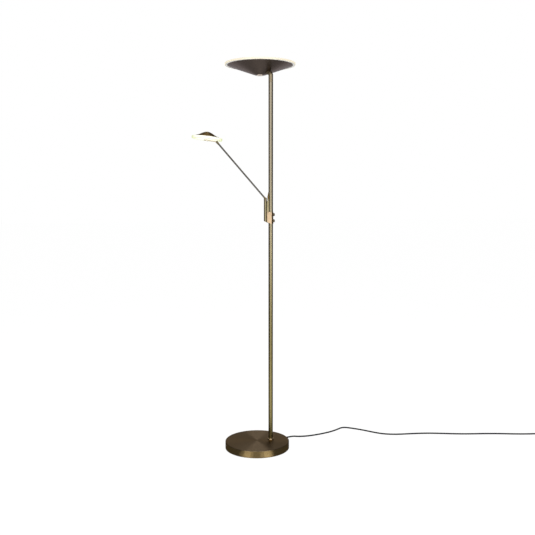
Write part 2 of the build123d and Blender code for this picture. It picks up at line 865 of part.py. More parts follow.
with BuildPart() as uplight_neck:
    with BuildSketch(level(pole_top + face_gap, pole_axis)):
        Circle(pole_radius)
    sweep(path=neck_line(pole_top + face_gap, saddle_radius))
    with BuildSketch(bowl_side):
        with BuildLine():
            Polyline(
                (0, bowl_bottom - face_gap),
                (bowl_floor_radius, bowl_bottom - face_gap),
                (bowl_radius, rim_height - face_gap),
                (0, rim_height),
                close=True,
            )
        make_face()
    revolve(axis=bowl_axis, mode=Mode.SUBTRACT)
    with BuildSketch(level(spigot_low, pole_axis)):
        Circle(stub_radius)
    sweep(path=neck_line(spigot_low, stub_length))
    with BuildSketch(level(spigot_low, pole_axis)):
        Circle(pole_bore - turn_fit)
    extrude(amount=neck_spigot_length + neck_straight)
    with BuildSketch(level(spigot_low, pole_axis)):
        Circle(neck_bore)
    sweep(path=neck_line(spigot_low, stub_length), mode=Mode.SUBTRACT)
save(uplight_neck, "uplight_neck")

stub_plane = Plane(origin=neck_end, z_dir=neck_way)

with BuildPart() as neck_saddle:
    with BuildSketch(stub_plane.offset(-saddle_length)):
        Circle(saddle_radius)
    extrude(amount=2 * saddle_length)
    with BuildSketch(bowl_side):
        with BuildLine():
            Polyline(
                (0, bowl_bottom + bowl_wall + face_gap),
                (inner_floor_radius, bowl_bottom + bowl_wall + face_gap),
                (bowl_radius - rim_width, rim_height + face_gap),
                (0, rim_height + face_gap),
                close=True,
            )
        make_face()
    revolve(axis=bowl_axis, mode=Mode.INTERSECT)
    with BuildSketch(stub_plane.offset(-saddle_length)):
        Circle(stub_radius + slide_fit)
    extrude(amount=2 * saddle_length, mode=Mode.SUBTRACT)
save(neck_saddle, "neck_saddle")

make_nut("neck_nut", stub_plane.offset(saddle_length), neck_nut_flats, neck_nut_height, stub_radius + slide_fit)

# Uplighter bowl: shell, bottom cap, bolt, plate, board with LEDs, driver and opal cup
with BuildPart() as uplight_bowl:
    with BuildSketch(bowl_side):
        with BuildLine():
            Polyline(
                (bolt_radius + slide_fit, bowl_bottom),
                (bowl_floor_radius, bowl_bottom),
                (bowl_radius, rim_height),
                (bowl_radius - rim_width, rim_height),
                (inner_floor_radius, bowl_bottom + bowl_wall),
                (bolt_radius + slide_fit, bowl_bottom + bowl_wall),
                close=True,
            )
        make_face()
    revolve(axis=bowl_axis)
    with BuildSketch(stub_plane.offset(-saddle_length)):
        Circle(stub_radius + slide_fit)
    extrude(amount=2 * saddle_length, mode=Mode.SUBTRACT)
save(uplight_bowl, "uplight_bowl")

bowl_middle = (bowl_x, bowl_y)
plate_top = rim_height + uplight_plate_thickness
board_top = plate_top + board_thickness
cup_roof = lamp_height - cup_wall

with BuildPart() as bowl_cap:
    with BuildSketch(level(bowl_bottom - cap_height, bowl_middle)):
        Circle(cap_radius)
    extrude(amount=cap_height)
    fillet(bowl_cap.edges().group_by(Axis.Z)[0], cap_edge)
    with BuildSketch(level(bowl_bottom, bowl_middle)):
        Circle(bolt_radius + slide_fit)
    extrude(amount=-bolt_in_cap, mode=Mode.SUBTRACT)
save(bowl_cap, "bowl_cap")

with BuildPart() as bowl_bolt:
    with BuildSketch(level(bowl_bottom - bolt_in_cap, bowl_middle)):
        Circle(bolt_radius)
    extrude(amount=board_top - bowl_bottom + bolt_in_cap)
save(bowl_bolt, "bowl_bolt")

make_tube(
    "uplight_plate",
    bowl_middle,
    rim_height,
    plate_top,
    uplight_cup_radius - cup_wall - slide_fit,
    bolt_radius + slide_fit,
)
make_tube(
    "uplight_led_board",
    bowl_middle,
    plate_top,
    board_top,
    uplight_board_radius,
    bolt_radius + slide_fit,
)

with BuildPart() as uplight_leds:
    with BuildSketch(level(board_top, bowl_middle)):
        for circle, count in zip(uplight_led_circles, uplight_led_counts):
            with PolarLocations(circle, count):
                Rectangle(led_size, led_size)
    extrude(amount=led_height)
save(uplight_leds, "uplight_leds")

with BuildPart() as uplight_driver:
    with BuildSketch(Plane(origin=(bowl_x, bowl_y, rim_height), x_dir=(turn_x, turn_y, 0))):
        with Locations((driver_gap, 0)):
            Rectangle(driver_length, driver_width, align=(Align.MIN, Align.CENTER))
    extrude(amount=-driver_height)
save(uplight_driver, "uplight_driver")

with BuildPart() as uplight_diffuser:
    with BuildSketch(level(rim_height, bowl_middle)):
        Circle(uplight_cup_radius)
    extrude(amount=uplight_cup_height)
    fillet(uplight_diffuser.edges().group_by(Axis.Z)[-1], cup_wall / 2)
    with BuildSketch(level(rim_height, bowl_middle)):
        Circle(uplight_cup_radius - cup_wall)
    extrude(amount=uplight_cup_height - cup_wall, mode=Mode.SUBTRACT)
    with BuildSketch(level(plate_top, bowl_middle)):
        with PolarLocations(cup_post_circle, 3):
            Circle(cup_post_radius)
    extrude(amount=cup_roof - plate_top)
save(uplight_diffuser, "uplight_diffuser")

# Cord gland in the base's skirt
gland_collar_inner = base_radius + face_gap
gland_collar_outer = gland_collar_inner + gland_collar_thickness
gland_tip = gland_collar_outer + gland_sleeve_length

with BuildPart() as cord_gland:
    with BuildSketch(gland_side):
        with BuildLine():
            Polyline(
                (gland_flange_inner, 0),
                (gland_flange_inner, gland_flange_radius),
                (gland_flange_outer, gland_flange_radius),
                (gland_flange_outer, gland_neck_radius),
                (gland_collar_inner, gland_neck_radius),
                (gland_collar_inner, gland_flange_radius),
                (gland_collar_outer, gland_flange_radius),
                (gland_collar_outer, gland_sleeve_radius),
                (gland_tip, gland_tip_radius),
                (gland_tip, 0),
                close=True,
            )
        make_face()
    revolve(axis=Axis((0, 0, cord_height), (exit_x, exit_y, 0)))
save(cord_gland, "cord_gland")

# Leads inside the base, the pole and the neck
lead_top = board_low - face_gap
make_wire(
    "mains_lead",
    [
        (lead_start.X, lead_start.Y, cord_height),
        (lead_bend.X, lead_bend.Y, cord_height),
        (pole_offset, 0, cord_height),
        (pole_offset, 0, lead_top),
    ],
    [lead_bend_radius, lead_rise_radius],
    cord_radius,
)

with BuildPart() as uplight_lead:
    with BuildSketch(level(board_high - cord_diameter, pole_axis)):
        Circle(wire_radius)
    extrude(amount=pole_top - neck_spigot_length - board_high + cord_diameter)
save(uplight_lead, "uplight_lead")

with BuildPart() as neck_lead:
    with BuildSketch(level(spigot_low, pole_axis)):
        Circle(wire_radius)
    sweep(path=neck_line(spigot_low, stub_length + stub_past_nut))
save(neck_lead, "neck_lead")

# Free cord along the floor: points chosen by hand, the first two on the gland's axis
floor = cord_radius
cord_points = [
    (exit_x * gland_tip, exit_y * gland_tip, cord_height),
    (exit_x * (gland_tip + cord_first_run), exit_y * (gland_tip + cord_first_run), cord_height),
    (240, 82, floor),
    (290, 77, floor),
    (352, 87, floor),
    (415, 105, floor),
    (461, 129, floor),
    (505, 159, floor),
    (548, 125, floor),
    (592, 79, floor),
    (634, 24, floor),
    (672, -8, floor),
    (728, -28, floor),
    (795, -37, floor),
    (868, -50, floor),
    (938, -74, floor),
    (1006, -102, floor),
    (1076, -124, floor),
    (1146, -140, floor),
    (1216, -160, floor),
    (1285, -186, floor),
    (1354, -208, floor),
    (1432, -226, floor + coil_lift),
    (1474, -232, floor + coil_lift),
]


def route_radii(points):
    """The radius of the arc at each corner of a cord's route, as large as its two runs allow."""
    radii = []
    for before, here, after in zip(points, points[1:], points[2:]):
        arriving = Vector(*here) - Vector(*before)
        leaving = Vector(*after) - Vector(*here)
        turn = radians(arriving.get_angle(leaving))
        radii.append(0.45 * min(arriving.length, leaving.length) / tan(turn / 2))
    return radii


cord_radii = route_radii(cord_points)
cord_length, cord_volume = make_wire("cord_lead", cord_points, cord_radii, cord_radius)

# Coil: the cord spirals in on the floor, climbs a layer in a half turn, spirals out above itself and
# comes down to the plug on the floor
heading = (Vector(*cord_points[-1]) - Vector(*cord_points[-2])).normalized()
coil_start = Vector(*cord_points[-1])
coil_mouth = coil_start + heading * cord_diameter
coil_rate = coil_pitch / (2 * pi)
start_angle = atan2(heading.Y, heading.X) - atan2(coil_radius, -coil_rate)
coil_centre = coil_mouth - Vector(cos(start_angle), sin(start_angle), 0) * coil_radius
layer_rise = cord_diameter + coil_layer_gap
coil_middle = coil_quarters // 2


def coil_node(quarter):
    """The cord's place and direction in the coil, after a number of quarter turns."""
    inward = quarter < coil_middle
    steps = quarter if inward else coil_quarters - quarter
    radius = coil_radius - coil_pitch * steps / 4
    angle = start_angle + quarter * pi / 2
    outward = Vector(cos(angle), sin(angle), 0)
    onward = Vector(-sin(angle), cos(angle), 0)
    height = 0 if inward else layer_rise
    radial_rate = -coil_rate if inward else coil_rate
    climb_rate = 0
    if quarter == coil_middle:
        height = layer_rise / 2
        radial_rate = 0
        climb_rate = 2 * layer_rise / pi
    place = coil_centre + outward * radius + Vector(0, 0, height)
    direction = outward * radial_rate + onward * radius + Vector(0, 0, climb_rate)
    return place, direction.normalized()


def biarc(start, leaving, end, arriving):
    """Two tangent arcs from one place and direction to another."""
    gap = end - start
    along = gap.dot(leaving + arriving)
    bend_share = 2 * (1 - leaving.dot(arriving))
    if bend_share < 1e-9:
        reach = gap.dot(gap) / (2 * along)
    else:
        reach = (sqrt(along**2 + bend_share * gap.dot(gap)) - along) / bend_share
    first_corner = start + leaving * reach
    second_corner = end - arriving * reach
    middle = (first_corner + second_corner) * 0.5
    TangentArc(start, middle, tangent=leaving)
    TangentArc(middle, end, tangent=second_corner - first_corner)


coil_nodes = [coil_node(quarter) for quarter in range(coil_quarters + 1)]
coil_last, coil_exit = coil_nodes[-1]
tail_end = coil_last + coil_exit * coil_tail
drop_end = tail_end + coil_exit * plug_drop_run
coil_end = Vector(drop_end.X, drop_end.Y, plug_thickness / 2)

with BuildPart() as cord_coil:
    with BuildLine() as coil_route:
        Line(coil_start, coil_mouth)
        for (here, onward), (there, arriving) in zip(coil_nodes, coil_nodes[1:]):
            biarc(here, onward, there, arriving)
        Line(coil_last, tail_end)
        biarc(tail_end, coil_exit, coil_end, coil_exit)
    with BuildSketch(Plane(origin=coil_start, z_dir=heading)):
        Circle(cord_radius)
    sweep(path=coil_route.line)
save(cord_coil, "cord_coil")

# Tie round the coil, on the side away from its ends
tie_angle = start_angle + pi
tie_out = Vector(cos(tie_angle), sin(tie_angle), 0)
tie_inner = coil_radius - coil_pitch * coil_middle / 4 - cord_radius - coil_layer_gap
tie_outer = coil_radius - coil_pitch / 2 + cord_radius + slide_fit
tie_low = -cord_radius - slide_fit
tie_height = layer_rise + cord_diameter + 2 * slide_fit
tie_plane = Plane(origin=coil_centre, x_dir=tie_out, z_dir=(tie_out.Y, -tie_out.X, 0))

with BuildPart() as coil_tie:
    with BuildSketch(tie_plane):
        with Locations((tie_inner - tie_wall, tie_low - tie_wall)):
            Rectangle(
                tie_outer - tie_inner + 2 * tie_wall,
                tie_height + 2 * tie_wall,
                align=(Align.MIN, Align.MIN),
            )
        with Locations((tie_inner, tie_low)):
            Rectangle(tie_outer - tie_inner, tie_height, align=(Align.MIN, Align.MIN), mode=Mode.SUBTRACT)
    extrude(amount=tie_width / 2, both=True)
save(coil_tie, "coil_tie")

# Plug on the coil's outer end
plug_plane = Plane(origin=coil_end, x_dir=coil_exit, z_dir=(0, 0, 1))

with BuildPart() as plug_body:
    with BuildSketch(plug_plane.offset(-plug_thickness / 2)):
        with BuildLine():
            Polyline(
                (0, plug_rear_width / 2),
                (plug_length / 2, plug_width / 2),
                (plug_length, plug_width / 2),
                (plug_length, -plug_width / 2),
                (plug_length / 2, -plug_width / 2),
                (0, -plug_rear_width / 2),
                close=True,
            )
        make_face()
    extrude(amount=plug_thickness)
    fillet(plug_body.edges().filter_by(Axis.Z), plug_round)
save(plug_body, "plug_body")

with BuildPart() as plug_pins:
    with BuildSketch(Plane(origin=coil_end + coil_exit * plug_length, x_dir=(0, 0, 1), z_dir=coil_exit)):
        with GridLocations(1, pin_spacing, 1, 2):
            Circle(pin_radius)
    extrude(amount=pin_length)
save(plug_pins, "plug_pins")

# Facts about the cord, printed for checking
coil_line = coil_route.wire()
samples = [tuple(coil_line.position_at(step / 600)) for step in range(601)]
near_samples = int(3 * cord_diameter / coil_line.length * 600) + 1
self_gap = min(
    dist(samples[i], samples[j]) - cord_diameter
    for i in range(len(samples))
    for j in range(i + near_samples, len(samples))
)
section = pi * cord_radius**2
print("cord radii", [round(radius) for radius in cord_radii])
print("cord length", round(cord_length), "coil length", round(coil_line.length))
print("cord volume ratio", round(cord_volume / (section * cord_length), 4))
print("coil volume ratio", round(cord_coil.part.volume / (section * coil_line.length), 4))
print("coil least gap to itself", round(self_gap, 2))
print("pole top", round(pole_top, 1), "neck bend", round(neck_bend_start, 1))
print("arm pivot", [round(value, 2) for value in arm_pivot])
print("head pivot", [round(value, 2) for value in head_pivot])
print("bowl middle", round(bowl_x, 2), round(bowl_y, 2), "knob heights", dimmer_heights)
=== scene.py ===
"""Looks of the floor lamp: brushed old brass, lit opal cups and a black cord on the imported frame."""

from math import cos, pi, radians, sin, tan

import bmesh
import bpy
from mathutils import Matrix, Vector


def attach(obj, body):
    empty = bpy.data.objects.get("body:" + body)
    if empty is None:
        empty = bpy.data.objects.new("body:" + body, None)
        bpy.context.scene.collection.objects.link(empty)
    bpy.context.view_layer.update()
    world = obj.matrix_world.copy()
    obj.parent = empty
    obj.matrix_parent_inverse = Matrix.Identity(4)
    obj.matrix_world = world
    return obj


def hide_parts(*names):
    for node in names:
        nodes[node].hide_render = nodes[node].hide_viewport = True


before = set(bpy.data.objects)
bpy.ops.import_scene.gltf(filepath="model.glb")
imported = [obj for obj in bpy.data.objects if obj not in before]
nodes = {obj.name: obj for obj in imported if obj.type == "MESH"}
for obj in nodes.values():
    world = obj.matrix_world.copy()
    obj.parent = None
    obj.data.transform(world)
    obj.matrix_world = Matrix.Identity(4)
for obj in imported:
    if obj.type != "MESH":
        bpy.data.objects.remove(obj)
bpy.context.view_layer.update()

# Sizes repeated from the part, in metres
base_radius = 0.152
base_height = 0.035
base_wall = 0.0015
base_edge = 0.0025
skirt_lift = 0.0015
pole_offset = 0.067
pole_radius = 0.0105
pole_bore = 0.009
pole_chamfer = 0.0004
lower_seam = 0.626
upper_seam = 1.217
pole_top = 1.7185
collar_radius = 0.014
collar_height = 0.0045
bowl_middle = Vector((0.03229, 0.05731, 0))
bowl_radius = 0.152
bowl_floor_radius = 0.027
bowl_bottom = 1.7575
rim_height = 1.802
bowl_wall = 0.0012
lamp_height = 1.810
cup_radius = 0.164
cup_wall = 0.0025
cap_radius = 0.016
cap_height = 0.0035
arm_pivot = Vector((0.0412, 0, 1.1855))
arm_length = 0.3426
arm_elevation = radians(48.2)
arm_radius = 0.00375
arm_bore = 0.00245
tube_start = 0.013
tube_end = 0.3306
head_tilt = radians(6.5)
head_reach = 0.0473
head_rise = 0.0104
head_cup_radius = 0.069
head_cup_half = 0.005
head_strap_drop = 0.010
shade_radius = 0.052
shade_knee = 0.025
shade_top = 0.030
shade_knee_height = 0.022
shade_brim_height = 0.0096
shade_knee_slope = -0.529
shade_brim_slope = -0.2126
shade_wall = 0.001
neck_start = 1.7485
neck_bend_radius = 0.0125
neck_bend_angle = radians(60)
neck_reach = 0.0126
uplight_turn = radians(121.2)
knob_radius = 0.007
knob_length = 0.0058
knob_base = 0.0794
knob_heights = {"knob_uplight": 1.112, "knob_reading": 1.083}
screw_heights = (1.080, 1.110)
screw_face = 0.012
cheek_face = 0.0062
tip_face = 0.00455
gland_angle = radians(22)
gland_collar = 0.15405
gland_tip = 0.17405
cord_height = 0.010
cord_diameter = 0.007
plug_length = 0.036
pin_spacing = 0.0186

side_way = Vector((1, 0, 0))
back_way = Vector((0, 1, 0))
up = Vector((0, 0, 1))
arm_way = Vector((-cos(arm_elevation), 0, sin(arm_elevation)))
head_pivot = arm_pivot + arm_way * arm_length
head_right = Vector((cos(head_tilt), 0, -sin(head_tilt)))
head_up = Vector((sin(head_tilt), 0, cos(head_tilt)))
head_centre = head_pivot - head_right * head_reach + head_up * head_rise
gland_way = Vector((cos(gland_angle), sin(gland_angle), 0))


def placed(name, data):
    """A new object of the scene for a mesh, a curve, a lamp or a camera."""
    thing = bpy.data.objects.new(name, data)
    bpy.context.scene.collection.objects.link(thing)
    return thing


# Camera, at the photograph's place and angle
camera_way = Vector((0.2826, 0.9542, -0.0986))
camera_data = bpy.data.cameras.new("photo_camera")
camera_data.lens = 48.93
camera_data.sensor_width = 36.0
camera_data.clip_end = 100.0
camera = placed("photo_camera", camera_data)
camera.location = (-0.9135, -3.2576, 1.201)
camera.rotation_euler = camera_way.to_track_quat("-Z", "Y").to_euler()
bpy.context.scene.camera = camera
bpy.context.scene.view_settings.view_transform = "Standard"


# Node helpers
socket_kinds = {int: "NodeSocketInt", float: "NodeSocketFloat", tuple: "NodeSocketVector"}
# Places of a Mix node's colour sockets, after those of its other kinds
mix_tones = (6, 7)
mix_result = 2


def link(tree, source, target):
    """Joins two sockets."""
    tree.links.new(source, target)


def feed(tree, node, sources):
    """Gives a node's inputs what they read: another node's socket or a plain value."""
    for name, source in sources.items():
        if isinstance(source, bpy.types.NodeSocket):
            link(tree, source, node.inputs[name])
        else:
            node.inputs[name].default_value = source


def add_node(tree, kind, sources=None, **settings):
    """A node of a kind, with its plain settings and what its inputs read."""
    node = tree.nodes.new(kind)
    for name, value in settings.items():
        setattr(node, name, value)
    feed(tree, node, sources or {})
    return node


def math_node(tree, operation, *values, clamp=False):
    """A Math node's result from sockets or numbers."""
    sources = dict(enumerate(values))
    return add_node(tree, "ShaderNodeMath", sources, operation=operation, use_clamp=clamp).outputs[0]


def split(tree, vector):
    """The X, Y and Z of a vector."""
    return add_node(tree, "ShaderNodeSeparateXYZ", {0: vector}).outputs


def noise(tree, source, detail, roughness=0.5, scale=1.0, dimensions="3D"):
    """A noise over a vector, or over one value where it has one dimension."""
    place = "W" if dimensions == "1D" else "Vector"
    sources = {place: source, "Scale": scale, "Detail": detail, "Roughness": roughness}
    return add_node(tree, "ShaderNodeTexNoise", sources, noise_dimensions=dimensions).outputs[0]


def new_tree(name, kind, inputs, outputs, output_kind):
    """An empty node tree, each of whose inputs is of the kind of its first value."""
    tree = bpy.data.node_groups.new(name, kind)
    for label, value in inputs.items():
        input_kind = socket_kinds.get(type(value), "NodeSocketMaterial")
        socket = tree.interface.new_socket(label, in_out="INPUT", socket_type=input_kind)
        socket.default_value = value
    for label in outputs:
        tree.interface.new_socket(label, in_out="OUTPUT", socket_type=output_kind)
    return tree, add_node(tree, "NodeGroupInput").outputs, add_node(tree, "NodeGroupOutput").inputs


# Shader groups shared by the materials
def new_group(name, sizes, outputs):
    """An empty shader group that reads a position and some sizes."""
    inputs = {"Position": (0.0, 0.0, 0.0), **sizes}
    return new_tree(name, "ShaderNodeTree", inputs, outputs, "NodeSocketFloat")


def divided(tree, vector, size):
    """A vector measured in a size."""
    sources = {0: vector, "Scale": math_node(tree, "DIVIDE", 1.0, size)}
    return add_node(tree, "ShaderNodeVectorMath", sources, operation="SCALE").outputs[0]


def make_turned_lines():
    """Fine rings round a piece's own axis, as a lathe brush leaves them."""
    sizes = {"Spacing": 0.001, "Breakup": 0.25}
    tree, start, end = new_group("turned_lines", sizes, ("Lines", "Radius"))
    parts = split(tree, start["Position"])
    across = math_node(tree, "MULTIPLY", parts["X"], parts["X"])
    along = math_node(tree, "MULTIPLY", parts["Y"], parts["Y"])
    radius = math_node(tree, "SQRT", math_node(tree, "ADD", across, along))
    slant = math_node(tree, "ADD", radius, parts["Z"])
    rings = noise(tree, math_node(tree, "DIVIDE", slant, start["Spacing"]), 4.0, 0.7, dimensions="1D")
    patches = noise(tree, start["Position"], 2.0, scale=40.0)
    centred = math_node(tree, "SUBTRACT", patches, 0.5)
    broken = math_node(tree, "MULTIPLY", centred, start["Breakup"])
    link(tree, math_node(tree, "ADD", rings, broken, clamp=True), end["Lines"])
    link(tree, radius, end["Radius"])
    return tree


def make_drawn_lines():
    """Fine lines along a tube's local Z, as drawing and belt brushing leave them."""
    tree, start, end = new_group("drawn_lines", {"Spacing": 0.0008, "Stretch": 60.0}, ("Lines",))
    parts = split(tree, start["Position"])
    long_spacing = math_node(tree, "MULTIPLY", start["Spacing"], start["Stretch"])
    shares = {}
    for axis, spacing in (("X", start["Spacing"]), ("Y", start["Spacing"]), ("Z", long_spacing)):
        shares[axis] = math_node(tree, "DIVIDE", parts[axis], spacing)
    stretched = add_node(tree, "ShaderNodeCombineXYZ", shares)
    link(tree, noise(tree, stretched.outputs[0], 3.0, 0.65), end["Lines"])
    return tree


def make_tarnish():
    """Soft darker and lighter patches of an aged lacquered surface."""
    tree, start, end = new_group("tarnish", {"Size": 0.05, "Contrast": 1.6}, ("Mask",))
    clouds = noise(tree, divided(tree, start["Position"], start["Size"]), 5.0, 0.6)
    centred = math_node(tree, "SUBTRACT", clouds, 0.5)
    stretched = math_node(tree, "MULTIPLY", centred, start["Contrast"])
    link(tree, math_node(tree, "ADD", stretched, 0.5, clamp=True), end["Mask"])
    return tree


def make_grain():
    """A fine even grain for castings, moulded plastic and felt."""
    tree, start, end = new_group("fine_grain", {"Size": 0.0008}, ("Grain",))
    link(tree, noise(tree, divided(tree, start["Position"], start["Size"]), 3.0), end["Grain"])
    return tree


turned_lines = make_turned_lines()
drawn_lines = make_drawn_lines()
tarnish = make_tarnish()
fine_grain = make_grain()


# Materials
line_depth = 0.000005
grain_depth = 0.00002


def new_material(name):
    """A material with its Principled shader, and the Object coordinates it reads."""
    material = bpy.data.materials.new(name)
    material.use_nodes = True
    tree = material.node_tree
    place = add_node(tree, "ShaderNodeTexCoord")
    return material, tree, tree.nodes["Principled BSDF"], place.outputs["Object"]


def mapped(tree, position, centre, turn):
    """Coordinates measured from a centre, turned so that a piece's axis is Z."""
    sources = {"Vector": position, "Location": centre, "Rotation": turn}
    return add_node(tree, "ShaderNodeMapping", sources, vector_type="TEXTURE").outputs[0]


def placed_group(tree, group, position, **values):
    """What a shared group gives in a material, with the material's own values."""
    return add_node(tree, "ShaderNodeGroup", {"Position": position, **values}, node_tree=group).outputs


def mixed_colour(tree, factor, *tones):
    """A colour between two tones, by a factor that changes over the surface."""
    sources = {"Factor": factor}
    for place, tone in zip(mix_tones, tones):
        sources[place] = (*tone, 1.0) if isinstance(tone, tuple) else tone
    return add_node(tree, "ShaderNodeMix", sources, data_type="RGBA").outputs[mix_result]


def ranged(tree, value, low, high):
    """A 0 to 1 value spread over a range."""
    sources = {"Value": value, "To Min": low, "To Max": high}
    return add_node(tree, "ShaderNodeMapRange", sources).outputs[0]


def soft_step(tree, value, start, stop):
    """0 before the start and 1 past the stop, which may lie on either side of it."""
    sources = {"Value": value, "From Min": start, "From Max": stop}
    return add_node(tree, "ShaderNodeMapRange", sources, interpolation_type="SMOOTHSTEP").outputs[0]


def surfaced(tree, shader, colour, pattern, roughness, depth):
    """Gives a shader its colour, and a roughness and a bump that follow one pattern."""
    rough = ranged(tree, pattern, *roughness)
    bump = add_node(tree, "ShaderNodeBump", {"Strength": 1.0, "Distance": depth, "Height": pattern})
    feed(tree, shader, {"Base Color": colour, "Roughness": rough, "Normal": bump.outputs[0]})


def brassy(tree, shader, edge_tint, anisotropic=0.0):
    """Makes a shader metal, with the brown that old brass keeps at a low angle."""
    sources = {"Metallic": 1.0, "Specular Tint": (*edge_tint, 1.0), "Anisotropic": anisotropic}
    feed(tree, shader, sources)
    shader.inputs["Anisotropic Rotation"].default_value = 0.25 if anisotropic else 0.0


def footed(tree, local, pattern, upper, foot_tones, foot_span, foot_side=None):
    """A colour that goes over from foot tones to upper ones along Z, and where asked along X as well:
    painted light and shade laid on by height and side.
    """
    foot = mixed_colour(tree, pattern, *foot_tones)
    parts = split(tree, local)
    share = soft_step(tree, parts["Z"], *foot_span)
    if foot_side:
        share = math_node(tree, "MAXIMUM", share, soft_step(tree, parts["X"], *foot_side))
    return mixed_colour(tree, share, foot, upper)


def turned_brass(name, dark, light, roughness, centre, turn=(0, 0, 0), spacing=0.0016, anisotropic=1.0,
                 edge_tint=(0.60, 0.53, 0.46), ring_depth=0.00001, foot_tones=None, foot_span=None):
    """Old brass brushed in rings round a piece's axis, with painted light and shade in other tones
    towards a foot.
    """
    material, tree, shader, position = new_material(name)
    local = mapped(tree, position, centre, turn)
    rings = placed_group(tree, turned_lines, local, Spacing=spacing, Breakup=0.3)["Lines"]
    patches = placed_group(tree, tarnish, position, Size=0.06, Contrast=1.4)["Mask"]
    ringed = mixed_colour(tree, rings, dark, light)
    aged = mixed_colour(tree, ranged(tree, patches, 0.0, 0.3), ringed, dark)
    if foot_tones:
        aged = footed(tree, local, rings, aged, foot_tones, foot_span)
    surfaced(tree, shader, aged, rings, roughness, ring_depth)
    brassy(tree, shader, edge_tint, anisotropic)
    tangent = add_node(tree, "ShaderNodeTangent", direction_type="RADIAL", axis="Z")
    link(tree, tangent.outputs[0], shader.inputs["Tangent"])
    return material


def drawn_brass(name, dark, light, roughness, turn, spacing):
    """Old brass brushed along a rod."""
    material, tree, shader, position = new_material(name)
    local = mapped(tree, position, (0, 0, 0), turn)
    lines = placed_group(tree, drawn_lines, local, Spacing=spacing, Stretch=80.0)["Lines"]
    patches = placed_group(tree, tarnish, position, Size=0.12, Contrast=1.5)["Mask"]
    drawn = mixed_colour(tree, lines, dark, light)
    aged = mixed_colour(tree, ranged(tree, patches, 0.0, 0.35), drawn, dark)
    surfaced(tree, shader, aged, lines, roughness, line_depth)
    brassy(tree, shader, (0.5, 0.45, 0.38))
    return material


def cast_brass(name, dark, light, roughness, foot_tones=None, foot_span=None, foot_side=None,
               painted_shade_crown_tones=None, painted_shade_crown_span=None):
    """Old brass of small castings and turned screws, with a painted highlight in other tones at a
    casting's foot and painted shade at its crown.
    """
    material, tree, shader, position = new_material(name)
    grain = placed_group(tree, fine_grain, position, Size=0.0012)["Grain"]
    patches = placed_group(tree, tarnish, position, Size=0.012, Contrast=1.6)["Mask"]
    aged = mixed_colour(tree, patches, dark, light)
    if painted_shade_crown_tones:
        crown = mixed_colour(tree, patches, *painted_shade_crown_tones)
        aged = footed(tree, position, patches, crown, (dark, light), painted_shade_crown_span)
    if foot_tones:
        aged = footed(tree, position, patches, aged, foot_tones, foot_span, foot_side)
    surfaced(tree, shader, aged, grain, roughness, grain_depth)
    brassy(tree, shader, (0.5, 0.42, 0.32))
    return material


def plain_metal(name, dark, light, roughness):
    """Bare or plated metal of the hidden fittings."""
    material, tree, shader, position = new_material(name)
    patches = placed_group(tree, tarnish, position, Size=0.01, Contrast=1.5)["Mask"]
    tone = mixed_colour(tree, patches, dark, light)
    rough = ranged(tree, patches, *roughness)
    feed(tree, shader, {"Base Color": tone, "Roughness": rough, "Metallic": 1.0})
    return material


def moulded(name, dark, light, roughness, grain_size=0.0008, depth=0.00003, gloss=0.5):
    """Moulded plastic, rubber, board lacquer or felt, with its own grain."""
    material, tree, shader, position = new_material(name)
    shader.inputs["Specular IOR Level"].default_value = gloss
    grain = placed_group(tree, fine_grain, position, Size=grain_size)["Grain"]
    surfaced(tree, shader, mixed_colour(tree, grain, dark, light), grain, roughness, depth)
    return material


def lit_opal(name, body, middle, edge, centre, turn, reach, grazing=None):
    """Opal acrylic lit from inside, whiter over the middle and warmer towards its edge.

    grazing, if given, keeps the edge's tone to where the wall is seen that nearly edge-on.
    """
    material, tree, shader, position = new_material(name)
    local = mapped(tree, position, centre, turn)
    radius = placed_group(tree, turned_lines, local, Spacing=0.004, Breakup=0.4)["Radius"]
    grain = placed_group(tree, fine_grain, position, Size=0.0015)["Grain"]
    edge_start = 0.55 * reach
    share = soft_step(tree, radius, edge_start, reach)
    if grazing:
        weight = add_node(tree, "ShaderNodeLayerWeight", {"Blend": 0.5})
        share = math_node(tree, "MULTIPLY", share, soft_step(tree, weight.outputs["Facing"], *grazing))
    glow = mixed_colour(tree, share, middle, edge)
    tone = mixed_colour(tree, grain, *body)
    rough = ranged(tree, grain, 0.3, 0.42)
    feed(tree, shader, {"Emission Color": glow, "Emission Strength": 1.0})
    feed(tree, shader, {"Base Color": tone, "Roughness": rough})
    return material


# Finishes, each with a dark and a light tone and a range of roughness
bowl_centre = tuple(bowl_middle)
pole_axis = (pole_offset, 0, 0)
head_turn = (0, head_tilt, 0)
# The base cover's wall below its top edge is painted warmer and a little lighter than its top: painted
# light for the bands the wall shows.
base_finish = turned_brass(
    "base_old_brass", (0.128, 0.094, 0.060), (0.166, 0.124, 0.082), (0.33, 0.40), (0, 0, 0),
    foot_tones=((0.143, 0.099, 0.042), (0.186, 0.133, 0.060)),
    foot_span=(base_height - 0.0035, base_height - 0.001),
)
# The bowl's tones are set darker and cooler than the base's: painted shade on the bowl's underside.
bowl_painted_shade_finish = turned_brass(
    "bowl_old_brass", (0.114, 0.088, 0.071), (0.147, 0.116, 0.095), (0.34, 0.42), bowl_centre,
    anisotropic=0.8, edge_tint=(0.78, 0.73, 0.75),
)
shade_finish = turned_brass(
    "shade_old_brass", (0.116, 0.077, 0.032), (0.160, 0.108, 0.048), (0.28, 0.38),
    tuple(head_centre), head_turn, spacing=0.0008,
)
